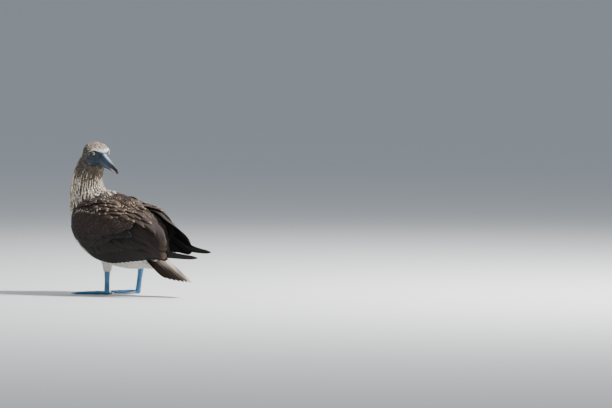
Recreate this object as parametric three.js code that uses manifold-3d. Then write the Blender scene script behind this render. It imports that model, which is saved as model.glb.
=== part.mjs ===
// A life-size blue-footed booby, standing and looking back over its left shoulder.
// Millimetres, +Z up, the floor at Z = 0. The bird faces -X; its left side is -Y and its tail points to +X.
import * as THREE from "three";
import { mergeGeometries, mergeVertices } from "three/addons/utils/BufferGeometryUtils.js";
import Module from "manifold-3d";

const wasm = await Module();
wasm.setup();

// Driving dimensions.
const gap = 0.3; // between neighbouring nodes
const footprint = {
  left: { x: 4, y: -42, turn: 15, lean: 1, shank: 54 },
  right: { x: 26, y: 42, turn: -3, lean: 10, shank: 62 },
};
const wingTipX = 287; // the longest primary, behind the legs
const coreEndX = 132; // where the arm and small coverts end and the flight feathers go on alone
const rightWingRise = 12; // the right wing is carried a little higher than the left
const tail = { rootX: 72, rootZ: 149, length: 207, slope: 33, feathers: 12, lean: 0.9 };
const head = { centre: new THREE.Vector3(-59, -8, 335), turn: -22, nod: 17 };
const bill = { start: 31, length: 97, baseTop: 14, baseBottom: -20, mouthHeight: -6, halfWidth: 13.5 };
const eye = { x: 18, y: 16.5, z: 7, radius: 7.2, forward: 30 };

// Finishes.
const finish = (color, roughness) => new THREE.MeshStandardMaterial({ color, roughness, metalness: 0 });
const brownPlumage = finish("#33261f", 0.85);
const streakedPlumage = finish("#a08f7d", 0.85);
const whitePlumage = finish("#e8e2d6", 0.9);
const tailPlumage = finish("#8b7a68", 0.85);
const blueSkin = finish("#3f86b5", 0.55);
const faceSkin = finish("#35495c", 0.5);
const hornyBill = finish("#5d7285", 0.4);
const clawHorn = finish("#6c6a66", 0.4);
const paleIris = finish("#d8cf7c", 0.1);

const up = new THREE.Vector3(0, 0, 1);
const rightward = new THREE.Vector3(0, 1, 0);
const leftward = new THREE.Vector3(0, -1, 0);
const degrees = THREE.MathUtils.degToRad;

// A smooth value between [place, value, ...] stations, which may hold several values each.
function between(stations, place) {
  const last = stations.length - 1;
  const share = THREE.MathUtils.clamp(place, stations[0][0], stations[last][0]);
  let k = 0;
  while (k < last - 1 && share > stations[k + 1][0]) k++;
  const [a, b, c, d] = [Math.max(k - 1, 0), k, k + 1, Math.min(k + 2, last)].map((i) => stations[i]);
  const t = (share - b[0]) / (c[0] - b[0]);
  const values = b.slice(1).map((value, j) => {
    const next = c[j + 1];
    const slopeIn = c[0] === a[0] ? 0 : ((next - a[j + 1]) / (c[0] - a[0])) * (c[0] - b[0]);
    const slopeOut = d[0] === b[0] ? 0 : ((d[j + 1] - value) / (d[0] - b[0])) * (c[0] - b[0]);
    const t2 = t * t;
    const t3 = t2 * t;
    const straight = (2 * t3 - 3 * t2 + 1) * value + (3 * t2 - 2 * t3) * next;
    return straight + (t3 - 2 * t2 + t) * slopeIn + (t3 - t2) * slopeOut;
  });
  return values.length === 1 ? values[0] : values;
}

// How wide a rounded end is, from 0 at the ends of the form to 1 over its middle.
const rounded = (share, power) => Math.sqrt(Math.max(0, 1 - Math.abs(2 * share - 1) ** power));

// A form swept along a path: the rows of a sphere laid on it. sectionAt gives half width, height above and depth
// below, where above is the bird's back on a path that runs towards its head, with rightward as the way across.
// Fullness under 1 makes the section squarer than an ellipse.
function sweptForm(path, sectionAt, { rows, sides, across = rightward, even = false, fullness = 1 }) {
  const form = new THREE.SphereGeometry(1, sides, rows);
  const { position, uv } = form.attributes;
  const tangent = new THREE.Vector3();
  const side = new THREE.Vector3();
  const over = new THREE.Vector3();
  for (let i = 0; i < position.count; i++) {
    const row = 1 - uv.getY(i);
    const along = even ? row : (1 - Math.cos(Math.PI * row)) / 2;
    const turn = uv.getX(i) * 2 * Math.PI;
    const [wide, above, below] = row === 0 || row === 1 ? [0, 0, 0] : sectionAt(along);
    path.getTangentAt(along, tangent);
    side.copy(across).addScaledVector(tangent, -across.dot(tangent)).normalize();
    over.crossVectors(side, tangent).normalize();
    const squared = (part) => Math.sign(part) * Math.abs(part) ** fullness;
    const [breadth, height] = [squared(Math.cos(turn)), squared(Math.sin(turn))];
    const place = path.getPointAt(along).addScaledVector(side, wide * breadth);
    place.addScaledVector(over, height * (height > 0 ? above : below));
    position.setXYZ(i, place.x, place.y, place.z);
  }
  return form;
}

// A closed sheet: a grid laid once on each side of its middle surface, alike in both, and joined at the border.
function sheet(middle, halfThickness, { columns, rows }) {
  const step = 1e-3;
  const faces = [1, -1].map((face) => {
    const grid = new THREE.PlaneGeometry(1, 1, columns, rows);
    const { position, uv } = grid.attributes;
    for (let i = 0; i < position.count; i++) {
      const u = uv.getX(i);
      const v = uv.getY(i);
      const place = middle(u, v);
      const border = [u, v].some((share) => share < step || share > 1 - step);
      if (!border) {
        const alongU = middle(u + step, v).sub(middle(u - step, v));
        const alongV = middle(u, v + step).sub(middle(u, v - step));
        place.addScaledVector(alongU.cross(alongV).normalize(), face * halfThickness(u, v));
      }
      position.setXYZ(i, place.x, place.y, place.z);
    }
    if (face < 0) grid.index.array.reverse();
    return grid;
  });
  return mergeGeometries(faces);
}

// A closed geometry as a solid, with its shared vertices merged and its faces turned outwards.
function solid(geometry) {
  const bare = new THREE.BufferGeometry().setAttribute("position", geometry.attributes.position);
  bare.setIndex(geometry.index);
  const merged = mergeVertices(bare, 1e-3);
  const corners = merged.index.array;
  const kept = [];
  for (let i = 0; i < corners.length; i += 3) {
    const [a, b, c] = corners.slice(i, i + 3);
    if (a !== b && b !== c && c !== a) kept.push(a, b, c);
  }
  const vertProperties = Float32Array.from(merged.attributes.position.array);
  const filled = (order) => {
    const surface = new wasm.Mesh({ numProp: 3, vertProperties, triVerts: Uint32Array.from(order) });
    return new wasm.Manifold(surface);
  };
  const made = filled(kept);
  return made.volume() > 0 ? made : filled(kept.reverse());
}

const joined = (...solids) => solids.reduce((whole, piece) => whole.add(piece));
const largest = (pieces) => pieces.reduce((best, piece) => (piece.volume() > best.volume() ? piece : best));

// A solid's largest closed surface as a named mesh.
function node(name, shape, material) {
  const surface = largest(largest(shape.decompose()).simplify(0.02).decompose()).getMesh();
  const geometry = new THREE.BufferGeometry();
  geometry.setAttribute("position", new THREE.BufferAttribute(surface.vertProperties, 3));
  geometry.setIndex(new THREE.BufferAttribute(surface.triVerts, 1));
  geometry.computeVertexNormals();
  const mesh = new THREE.Mesh(geometry, material);
  mesh.name = name;
  return mesh;
}

// The torso: [share of the path from rump to breast, half width, height above, depth below].
const torsoPath = new THREE.CatmullRomCurve3([
  new THREE.Vector3(162, 0, 93),
  new THREE.Vector3(120, 0, 118),
  new THREE.Vector3(50, 0, 144),
  new THREE.Vector3(-30, 0, 162),
  new THREE.Vector3(-92, 0, 176),
  new THREE.Vector3(-128, 0, 188),
]);
const torsoStations = [
  [0, 22, 16, 16],
  [0.08, 34, 38, 32],
  [0.16, 44, 52, 57],
  [0.23, 51, 62, 69],
  [0.41, 61, 74, 84],
  [0.675, 66, 84, 85],
  [0.81, 61, 80, 77],
  [1, 54, 70, 62],
];

// The torso, its surface moved out by swell.
function torsoForm(swell) {
  const sectionAt = (t) => between(torsoStations, t).map((size) => size * rounded(t, 6) + swell);
  return solid(sweptForm(torsoPath, sectionAt, { rows: 18, sides: 24, fullness: 0.86 }));
}

// The neck, from inside the breast to inside the head: [share, half width, height above, depth below].
const neckPath = new THREE.CatmullRomCurve3([
  new THREE.Vector3(-64, 0, 152),
  new THREE.Vector3(-90, 0, 204),
  new THREE.Vector3(-102, -1, 246),
  new THREE.Vector3(-98, -5, 274),
  new THREE.Vector3(-85, -7, 303),
  new THREE.Vector3(-58, -8, 332),
]);
const neckStations = [
  [0, 58, 64, 58],
  [0.3, 51, 55, 51],
  [0.5, 42, 44, 42],
  [0.66, 36, 37, 36],
  [0.82, 32.5, 35, 33],
  [1, 31, 30, 30],
];

function neckForm(swell) {
  const sectionAt = (t) => between(neckStations, t).map((size) => size * rounded(t, 8) + swell);
  return solid(sweptForm(neckPath, sectionAt, { rows: 14, sides: 20 }));
}

// From the head's own frame, with x forward, y to the bird's left and z up, to the bird's.
const headFrame = new THREE.Matrix4()
  .makeTranslation(head.centre)
  .multiply(new THREE.Matrix4().makeRotationZ(degrees(head.turn)))
  .multiply(new THREE.Matrix4().makeRotationY(degrees(head.nod)));
const inHead = (geometry) => solid(geometry.applyMatrix4(headFrame));
const headLine = (...points) => new THREE.CatmullRomCurve3(points.map(([x, z]) => new THREE.Vector3(x, 0, z)));

// The feathered head from nape to bill: [share, half width, height above, depth below].
const headStations = [
  [0, 28, 24, 33],
  [0.28, 30.5, 27, 34],
  [0.52, 29, 27, 30],
  [0.68, 22, 23, 26],
  [0.8, 15.5, 18.5, 19.5],
  [1, 12, 14, 16],
];

function headForm() {
  const sectionAt = (t) => between(headStations, t).map((size) => size * rounded(t, 5));
  const line = headLine([-43, -7], [-7, 0], [52, -4]);
  return inHead(sweptForm(line, sectionAt, { rows: 14, sides: 20, across: leftward }));
}

// The bare face: the part of the head in front of and below this outline, as seen from the side.
function faceCutter() {
  const outline = new THREE.Shape();
  outline.moveTo(60, 15);
  outline.lineTo(30, 14);
  outline.quadraticCurveTo(16, 15, 10, 9);
  outline.quadraticCurveTo(7, 2, 8, -5);
  outline.lineTo(-2, -14);
  outline.quadraticCurveTo(4, -21, 16, -22);
  outline.lineTo(60, -34);
  const cutter = new THREE.ExtrudeGeometry(outline, { depth: 100, bevelEnabled: false, curveSegments: 5 });
  return inHead(cutter.translate(0, 0, -50).rotateX(Math.PI / 2));
}

// The whole bill, before the mouth parts it.
function billForm() {
  const height = bill.baseTop - bill.baseBottom;
  const middle = (bill.baseTop + bill.baseBottom) / 2;
  const path = headLine(
    [bill.start, middle],
    [bill.start + bill.length * 0.5, middle - 1],
    [bill.start + bill.length * 0.85, middle - 0.5],
    [bill.start + bill.length, middle - 1.5],
  );
  const stations = [
    [0, bill.halfWidth, height / 2, height / 2],
    [0.3, bill.halfWidth * 0.74, height * 0.36, height * 0.4],
    [0.6, bill.halfWidth * 0.5, height * 0.24, height * 0.27],
    [0.85, bill.halfWidth * 0.36, height * 0.18, height * 0.19],
    [1, bill.halfWidth * 0.16, height * 0.08, height * 0.08],
  ];
  const sectionAt = (t) => between(stations, t);
  return inHead(sweptForm(path, sectionAt, { rows: 12, sides: 12, across: leftward, even: true }));
}

// The mouth: a thin slit through the bill and the face, which opens a little towards the tip.
function mouthSlit() {
  const gape = 8;
  const tip = bill.start + bill.length + 6;
  const slit = new THREE.Shape();
  slit.moveTo(gape, bill.mouthHeight + gap / 2);
  const bend = bill.start + bill.length * 0.6;
  slit.quadraticCurveTo(bend, bill.mouthHeight + 2.8, tip, bill.mouthHeight + 0.4);
  slit.lineTo(tip, bill.mouthHeight - 1);
  slit.quadraticCurveTo(bend, bill.mouthHeight + 0.2, gape, bill.mouthHeight - gap / 2);
  const cutter = new THREE.ExtrudeGeometry(slit, { depth: 80, bevelEnabled: false, curveSegments: 8 });
  return inHead(cutter.translate(0, 0, -40).rotateX(Math.PI / 2));
}

// An eyeball on one side, and the ring of its lids.
function eyeball(side, radius, segments) {
  return inHead(new THREE.SphereGeometry(radius, segments, segments / 2).translate(eye.x, side * eye.y, eye.z));
}

function eyelids(side) {
  const ring = new THREE.TorusGeometry(5.6, 1.5, 5, 14).rotateX(Math.PI / 2).translate(0, side * 4.6, 0);
  return inHead(ring.rotateZ(degrees(side * -eye.forward)).translate(eye.x, side * eye.y, eye.z));
}

// A slab of the given thickness on one side of a plane, for parting one form from the next.
const beyond = (shape, point, normal) => shape.trimByPlane(normal.toArray(), normal.dot(point) + gap / 2);
const before = (shape, point, normal) => beyond(shape, point, normal.clone().negate());

// The surface of the folded wing: half breadth, height of the broadest line, and rounding above and below it.
const wingStations = [
  [-100, 62, 167, 92, 92],
  [-60, 75, 160, 95, 94],
  [0, 81, 150, 90, 95],
  [50, 79, 141, 74, 93],
  [110, 65, 129, 66, 78],
  [150, 51, 120, 50, 62],
  [200, 42, 105, 40, 40],
  [240, 34, 100, 30, 30],
  [wingTipX, 26, 97, 24, 24],
];

// How much higher than the left wing the right one is carried: all along, and a little more over the hip.
function carriedHigher(side, x) {
  if (side < 0) return 0;
  return rightWingRise * THREE.MathUtils.smoothstep(x, -90, 90) + 6 * Math.exp(-(((x - 100) / 45) ** 2));
}

// The point of the wing surface at x, at a distance above its broadest line measured over the surface, and lifted
// off it.
function onWing(side, x, above, lift) {
  const [breadth, middle, up, down] = between(wingStations, x);
  const height = above > 0 ? up : down;
  const turn = above / ((breadth + height) / 2);
  const y = side * (breadth + lift) * Math.cos(turn);
  return new THREE.Vector3(x, y, middle + carriedHigher(side, x) + (height + lift) * Math.sin(turn));
}

// The wing's two edges, as [x, distance above the broadest line], from the wrist to the tip.
const lowerEdge = [
  ...[[-95, 6], [-92, -10], [-84, -23], [-62, -39], [-20, -58], [38, -68]],
  ...[[110, -50], [161, -28], [200, -14], [240, -7], [wingTipX, -2]],
];
const upperEdge = [
  ...[[-95, 16], [-92, 26], [-84, 34], [-66, 42], [-20, 50], [13, 54], [56, 66]],
  ...[[90, 62], [121, 50], [158, 34], [176, 20], [197, 9], [240, 5], [wingTipX, 1]],
];

// The point at a share of the way from the wing's lower edge to its upper edge.
function acrossWing(side, x, share, lift) {
  return onWing(side, x, THREE.MathUtils.lerp(between(lowerEdge, x), between(upperEdge, x), share), lift);
}

// The arm and the small coverts of the folded wing: what share of its breadth they take at x.
const coreStations = [
  [-95, 0, 1],
  [-45, 0, 1],
  [10, 0.16, 1],
  [60, 0.26, 0.98],
  [coreEndX, 0.36, 0.78],
];

function wingCore(side) {
  const front = coreStations[0][0];
  const length = coreEndX - front;
  const middle = (u, v) => {
    const x = front + length * Math.max(v, 0) ** 1.4;
    const [low, high] = between(coreStations, x);
    return acrossWing(side, x, THREE.MathUtils.lerp(low, high, u), -10 * (1 - 0.6 * v) * Math.sin(Math.PI * u));
  };
  const halfThickness = (u, v) => (12.5 - 7.5 * v) * Math.sin(Math.PI * u) ** 0.5 * Math.min(1, 6 * v);
  return solid(sheet(middle, halfThickness, { columns: 8, rows: 14 }));
}

// How broad a vane is along its length, rounded (flight and body feathers) or pointed (tail).
const roundedVane = [[0, 0.45], [0.3, 0.95], [0.75, 1], [0.9, 0.84], [1, 0.36]];
const pointedVane = [[0, 0.5], [0.3, 0.95], [0.6, 1], [0.82, 0.8], [0.94, 0.42], [1, 0.1]];

// A vane: a thin blade along a line of a surface. surfaceAt takes the place along it, the distance across it and
// the lift off the surface, which grows from sunk at its root to lift at its tip. Tilt raises its lower edge.
function vane(surfaceAt, { width, outline, tilt, camber, sunk, lift, halfThickness }) {
  const middle = (u, v) => {
    const along = 1 - (1 - v) ** 1.5;
    const offset = u - 0.5;
    const rise = THREE.MathUtils.lerp(sunk, lift, along) + camber * (1 - 4 * offset * offset);
    return surfaceAt(along, offset * width * between(outline, along), rise - offset * tilt);
  };
  return solid(sheet(middle, () => halfThickness, { columns: 2, rows: 5 }));
}

// The tiers of a folded wing, from the lowest layer up. Each runs from its lowest or rearmost vane to its highest
// or foremost one: [x, share of the wing's breadth, rise beyond it] of roots and tips, breadth, and lift at root
// and tip.
const wingTiers = {
  primaries: {
    count: 6,
    roots: [[72, 0.42, 0], [100, 0.64, 0]],
    tips: [[wingTipX, 0.5, 0], [186, 0.86, 0]],
    width: 15,
    sunk: [-5, -4],
    lift: [-3.4, 1],
  },
  secondaries: {
    count: 7,
    roots: [[88, 0.5, 0], [-62, 0.26, 0]],
    tips: [[204, 0.22, -2], [2, 0.06, -8]],
    width: 22,
    sunk: [-5, -5],
    lift: [1.4, 2],
  },
  tertials: {
    count: 4,
    roots: [[84, 0.72, 0], [70, 1, 30]],
    tips: [[200, 0.6, 0], [199, 1, 8]],
    width: 26,
    sunk: [-4, -5],
    lift: [2, 1],
  },
  coverts: {
    count: 7,
    roots: [[62, 0.6, 0], [-78, 0.3, 0]],
    tips: [[128, 0.44, 0], [-28, 0.16, 0]],
    width: 20,
    sunk: [-3, -3],
    lift: [4, 4.4],
  },
  mantle: {
    count: 4,
    roots: [[66, 1, 34], [-40, 1, 12]],
    tips: [[162, 1, 24], [40, 1, 16]],
    width: 34,
    sunk: [-5, -4],
    lift: [1, 1],
  },
  scapulars: {
    count: 6,
    roots: [[76, 1, 10], [-78, 1, -8]],
    tips: [[168, 1, 2], [-16, 1, 0]],
    width: 30,
    sunk: [-4, -3],
    lift: [2.6, 4],
  },
};

function wingVanes(side) {
  const mixed = ([a, b], t) => a.map((value, i) => THREE.MathUtils.lerp(value, b[i], t));
  return Object.values(wingTiers).flatMap(({ count, roots, tips, width, sunk, lift }) =>
    Array.from({ length: count }, (_, k) => {
      const t = k / (count - 1);
      const root = mixed(roots, t);
      const tip = mixed(tips, t);
      const at = (v) => {
        const [x, share, rise] = mixed([root, tip], v);
        const edges = [between(lowerEdge, x), between(upperEdge, x)];
        return new THREE.Vector2(x, rise + THREE.MathUtils.lerp(...edges, share));
      };
      const surfaceAt = (v, across, raised) => {
        const heading = at(v + 0.02).sub(at(v - 0.02)).normalize();
        const place = at(v).add(new THREE.Vector2(-heading.y, heading.x).multiplyScalar(across));
        return onWing(side, place.x, place.y, raised);
      };
      const lifts = { sunk: THREE.MathUtils.lerp(...sunk, t), lift: THREE.MathUtils.lerp(...lift, t) };
      const blade = { outline: roundedVane, tilt: 1.6, camber: 0.6, halfThickness: 0.5 };
      return vane(surfaceAt, { width, ...blade, ...lifts });
    }),
  );
}

// The tail: a place along a feather whose quill leans out by an angle, across it, and lifted off the roof-shaped
// fan.
function onTail(feather, along, across, lift) {
  const slope = degrees(tail.slope);
  const lean = degrees(feather * tail.lean);
  const length = tail.length - 4.2 * Math.abs(feather) ** 1.5;
  const reach = along * length;
  const y = feather * 2.4 + reach * Math.sin(lean) + across * Math.cos(lean);
  const forward = reach * Math.cos(lean) - across * Math.sin(lean);
  const height = lift - 16 * Math.abs(y / 26) ** 1.6 - 1.5 * Math.abs(feather);
  const x = tail.rootX + forward * Math.cos(slope) + height * Math.sin(slope);
  return new THREE.Vector3(x, y, tail.rootZ - forward * Math.sin(slope) + height * Math.cos(slope));
}

function tailVanes() {
  return Array.from({ length: tail.feathers }, (_, k) => {
    const feather = k - (tail.feathers - 1) / 2;
    const surfaceAt = (v, across, lift) => onTail(feather, THREE.MathUtils.lerp(0.12, 1, v), across, lift);
    const width = 17 - 0.5 * Math.abs(feather);
    const lies = { tilt: -1.5 * Math.sign(feather), camber: 0.3, sunk: -3, lift: 0, halfThickness: 0.45 };
    return vane(surfaceAt, { width, outline: pointedVane, ...lies });
  });
}

// The base of the tail under its coverts, where the quills sit.
function tailCore() {
  const slope = degrees(tail.slope);
  const along = (reach, drop) => {
    const x = tail.rootX + reach * Math.cos(slope) - drop * Math.sin(slope);
    return new THREE.Vector3(x, 0, tail.rootZ - reach * Math.sin(slope) - drop * Math.cos(slope));
  };
  const stations = [
    [0, 14, 8, 8],
    [0.4, 24, 9, 9],
    [0.75, 22, 6, 6],
    [1, 12, 1.5, 1.5],
  ];
  const path = new THREE.CatmullRomCurve3([along(8, 6), along(70, 9), along(118, 8)]);
  return solid(sweptForm(path, (t) => between(stations, t), { rows: 9, sides: 14 }));
}

// One leg: the feathered thigh, the tarsus and the webbed foot.
const legLine = (side) => {
  const { x, y, lean, shank } = footprint[side];
  return {
    hip: new THREE.Vector3(x + lean + 2, y * 0.95, 118),
    ankle: new THREE.Vector3(x + lean, y, shank),
    heel: new THREE.Vector3(x, y, 5),
  };
};

function thighForm(side, swell) {
  const { hip, ankle } = legLine(side);
  const stations = [
    [0, 20, 24, 24],
    [0.42, 18, 20, 20],
    [0.7, 12, 13, 13],
    [0.85, 9.4, 10.6, 10.6],
    [1, 8.2, 9.4, 9.4],
  ];
  const path = new THREE.CatmullRomCurve3([hip, ankle.clone().add(new THREE.Vector3(0, 0, -12))]);
  const sectionAt = (t) => between(stations, t).map((size) => size + swell);
  return solid(sweptForm(path, sectionAt, { rows: 8, sides: 14, even: true }));
}

function tarsusForm(side) {
  const { ankle, heel } = legLine(side);
  const stations = [
    [0, 6.8, 8, 8],
    [0.15, 6.4, 7.6, 7.6],
    [0.5, 5.4, 6.7, 6.7],
    [0.85, 5.8, 7, 7],
    [1, 6.3, 7.4, 7.4],
  ];
  const shank = heel.clone().sub(ankle).normalize();
  const ends = [ankle.clone().addScaledVector(shank, -10), heel.clone().addScaledVector(shank, 8)];
  const path = new THREE.CatmullRomCurve3(ends);
  return solid(sweptForm(path, (t) => between(stations, t), { rows: 8, sides: 12, even: true }));
}

// The four toes, from the outer one in: length, spread from straight ahead towards the body's middle, radius.
const toes = [
  { length: 78, spread: -17, radius: 4.2 },
  { length: 80, spread: 3, radius: 4.4 },
  { length: 60, spread: 25, radius: 4 },
  { length: 27, spread: 78, radius: 3.2 },
];
const clawLength = 9;

// A point of a foot, at a distance from the heel along a direction that is spread from straight ahead.
function onFoot(side, distance, spread, height) {
  const { x, y, turn } = footprint[side];
  const outward = side === "left" ? -1 : 1;
  const heading = degrees(turn - spread);
  const [forward, aside] = [distance * Math.cos(heading), distance * Math.sin(heading)];
  return new THREE.Vector3(x - forward, y + outward * aside, height);
}

function toeForm(side, toe) {
  const knuckles = 3;
  const path = new THREE.CatmullRomCurve3([
    onFoot(side, 0, 0, 5.2),
    onFoot(side, toe.length * 0.4, toe.spread, toe.radius * 1.05),
    onFoot(side, toe.length * 0.75, toe.spread * 1.03, toe.radius * 0.82),
    onFoot(side, toe.length, toe.spread * 1.05, toe.radius * 0.6),
  ]);
  const sectionAt = (t) => {
    const size = toe.radius * (1 - 0.38 * t) * (1 + 0.08 * Math.cos(2 * Math.PI * knuckles * t));
    return [size, size, size];
  };
  return solid(sweptForm(path, sectionAt, { rows: 8, sides: 7 }));
}

function webForm(side, outer, inner) {
  const middle = (u, v) => {
    const spread = THREE.MathUtils.lerp(outer.spread, inner.spread, u);
    const reach = THREE.MathUtils.lerp(outer.length, inner.length, u) - 30 * u * (1 - u);
    return onFoot(side, 5 + (reach - 6) * v, spread, 2.1 + 1.2 * Math.sin(Math.PI * u) * Math.sin(Math.PI * v));
  };
  return solid(sheet(middle, () => 0.9, { columns: 3, rows: 3 }));
}

function clawForm(side, toe) {
  const path = new THREE.CatmullRomCurve3([
    onFoot(side, toe.length - 4, toe.spread * 1.05, toe.radius * 0.62),
    onFoot(side, toe.length + clawLength * 0.5, toe.spread * 1.06, toe.radius * 0.66),
    onFoot(side, toe.length + clawLength, toe.spread * 1.07, 1.1),
  ]);
  const sectionAt = (t) => [1.7 * (1 - t) + 0.4, 1.9 * (1 - t) + 0.4, 1.7 * (1 - t) + 0.3];
  return solid(sweptForm(path, sectionAt, { rows: 5, sides: 8, even: true }));
}

function footForm(side) {
  const webs = toes.slice(1).map((toe, k) => webForm(side, toes[k], toe));
  const { heel } = legLine(side);
  const pad = solid(new THREE.SphereGeometry(6.4, 12, 7).translate(heel.x, heel.y, heel.z + 0.6));
  const whole = joined(pad, ...toes.map((toe) => toeForm(side, toe)), ...webs);
  return whole.trimByPlane(up.toArray(), 0);
}

// Assembly.
const bird = new THREE.Group();
const flesh = joined(torsoForm(0), neckForm(0), headForm());
const bodyClear = joined(torsoForm(gap), neckForm(gap));

const neckBase = new THREE.Vector3(-62, 0, 252);
const neckNormal = new THREE.Vector3(-0.507, 0, 0.862).normalize();
const nape = new THREE.Vector3(-76, -7, 311);
const napeNormal = new THREE.Vector3(0.42, -0.06, 0.9).normalize();
const neckAndHead = beyond(flesh, neckBase, neckNormal);
const headWhole = beyond(neckAndHead, nape, napeNormal);
bird.add(node("neck", before(neckAndHead, nape, napeNormal), streakedPlumage));

const sockets = [-1, 1].map((side) => eyeball(side, eye.radius + gap, 16));
const billWhole = billForm();
const billEnd = new THREE.Vector3(bill.start + 1, 0, 0).applyMatrix4(headFrame);
const billNormal = new THREE.Vector3(1, 0, 0).transformDirection(headFrame);
const mask = faceCutter();
const skull = joined(headWhole, before(billWhole, billEnd, billNormal));
const faceWhole = joined(skull.intersect(mask), eyelids(-1), eyelids(1)).subtract(joined(...sockets));
bird.add(node("face", before(faceWhole.subtract(mouthSlit()), billEnd, billNormal), faceSkin));

const maskClear = joined(mask, eyelids(-1), eyelids(1));
bird.add(node("head", headWhole.subtract(maskClear).subtract(joined(...sockets)), streakedPlumage));
const billParts = beyond(billWhole, billEnd, billNormal).subtract(mouthSlit()).decompose();
const byHeight = billParts.sort((a, b) => b.boundingBox().max[2] - a.boundingBox().max[2]);
bird.add(node("bill_upper", byHeight[0], hornyBill));
bird.add(node("bill_lower", largest(byHeight.slice(1)), hornyBill));

for (const [name, side] of [["left", 1], ["right", -1]]) {
  bird.add(node(`eye_${name}`, eyeball(side, eye.radius, 16), paleIris));
}

const thighs = ["left", "right"].map((side) => thighForm(side, 0));
const torsoPart = before(flesh, neckBase, neckNormal);
bird.add(node("torso", torsoPart, whitePlumage));
["left", "right"].forEach((side, k) => {
  const { ankle, heel } = legLine(side);
  const shank = heel.clone().sub(ankle).normalize();
  const ankleCut = ankle.clone().addScaledVector(shank, 0.5);
  const heelCut = heel.clone().add(new THREE.Vector3(0, 0, 5));
  bird.add(node(`thigh_${side}`, before(thighs[k].subtract(bodyClear), ankleCut, shank), whitePlumage));
  const tarsus = before(beyond(tarsusForm(side), ankleCut, shank), heelCut, shank);
  bird.add(node(`tarsus_${side}`, tarsus, blueSkin));
  const foot = beyond(footForm(side), heelCut, shank);
  const claws = toes.map((toe) => clawForm(side, toe));
  bird.add(node(`foot_${side}`, foot, blueSkin));
  toes.forEach((toe, n) => {
    const end = onFoot(side, toe.length + 0.5, toe.spread * 1.05, 0);
    const ahead = onFoot(side, toe.length + 1.5, toe.spread * 1.05, 0).sub(end).normalize();
    bird.add(node(`claw_${side}_${n + 1}`, beyond(claws[n], end, ahead), clawHorn));
  });
});

bird.add(node("tail", joined(tailCore(), ...tailVanes()).subtract(bodyClear), tailPlumage));
for (const [name, side] of [["left", -1], ["right", 1]]) {
  const clear = joined(bodyClear, thighForm(name, gap));
  bird.add(node(`wing_${name}`, joined(wingCore(side), ...wingVanes(side)).subtract(clear), brownPlumage));
}

// The bird stands with the middle of its plan at X = Y = 0.
const plan = new THREE.Box3().setFromObject(bird).getCenter(new THREE.Vector3());
bird.position.set(-plan.x, -plan.y, 0);

export default bird;
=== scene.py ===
"""A life-size blue-footed booby, standing and looking back over its left shoulder.

Every form is worked out in millimetres in the bird's own frame, where the bird faces -X, its left side is -Y
and the floor is Z = 0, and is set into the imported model's frame, in metres, when its mesh is made.
"""

from __future__ import annotations

import logging
import math
from collections.abc import Callable
from dataclasses import dataclass
from dataclasses import field
from enum import Enum

import bmesh
import bpy
import numpy as np
from mathutils import Matrix
from mathutils import Vector
from mathutils.bvhtree import BVHTree

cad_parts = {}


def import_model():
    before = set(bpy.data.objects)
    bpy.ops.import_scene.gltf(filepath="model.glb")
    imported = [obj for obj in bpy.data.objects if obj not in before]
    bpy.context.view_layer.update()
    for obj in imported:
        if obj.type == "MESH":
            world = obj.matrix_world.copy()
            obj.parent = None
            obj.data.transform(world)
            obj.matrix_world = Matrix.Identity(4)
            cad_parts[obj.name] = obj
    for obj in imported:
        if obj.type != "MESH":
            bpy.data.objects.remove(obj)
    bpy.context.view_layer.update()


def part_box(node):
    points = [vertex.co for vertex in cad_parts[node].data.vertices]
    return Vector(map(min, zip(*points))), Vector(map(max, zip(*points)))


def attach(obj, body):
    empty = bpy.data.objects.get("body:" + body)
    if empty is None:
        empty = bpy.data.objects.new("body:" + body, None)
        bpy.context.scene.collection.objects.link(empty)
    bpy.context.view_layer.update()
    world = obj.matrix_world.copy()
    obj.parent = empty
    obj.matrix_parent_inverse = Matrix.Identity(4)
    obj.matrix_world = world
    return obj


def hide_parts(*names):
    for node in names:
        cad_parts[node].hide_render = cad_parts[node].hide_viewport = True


logging.basicConfig(level=logging.INFO, format="%(message)s")
log = logging.getLogger("booby")

Array = np.ndarray
Rows = tuple[tuple[float, ...], ...]
Pair = tuple[float, float]
Triple = tuple[float, float, float]
Values = dict[str | int, object]
Mesh = bpy.types.Mesh
Material = bpy.types.Material
Socket = bpy.types.NodeSocket

Relief = Callable[[Array, Array], Array] | None

MM = 0.001
PHOTO_WIDTH = 612
PHOTO_HEIGHT = 408
PLACES_AT_ONCE = 8000
UP = np.array([0.0, 0.0, 1.0])


def linear(code: str) -> tuple[float, float, float, float]:
    """Turn a web colour into a linear one.

    Args:
        code: The colour as "#rrggbb".

    Returns:
        Red, green, blue and an alpha of 1.
    """
    parts = [int(code[i : i + 2], 16) / 255 for i in (1, 3, 5)]
    red, green, blue = (c / 12.92 if c <= 0.04045 else ((c + 0.055) / 1.055) ** 2.4 for c in parts)
    return red, green, blue, 1.0


def smooth(low: float, high: float, value: Array) -> Array:
    """Rise smoothly from 0 at low to 1 at high."""
    share = np.clip((np.asarray(value, float) - low) / (high - low), 0, 1)
    return share * share * (3 - 2 * share)


def bell(value: Array, middle: float, width: float) -> Array:
    """Rise to 1 at the middle and fall away on both sides, over about the width."""
    return np.exp(-(((value - middle) / width) ** 2))


def unit(vectors: Array) -> Array:
    """Scale each vector to a length of one."""
    return vectors / np.maximum(np.linalg.norm(vectors, axis=-1, keepdims=True), 1e-9)


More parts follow.
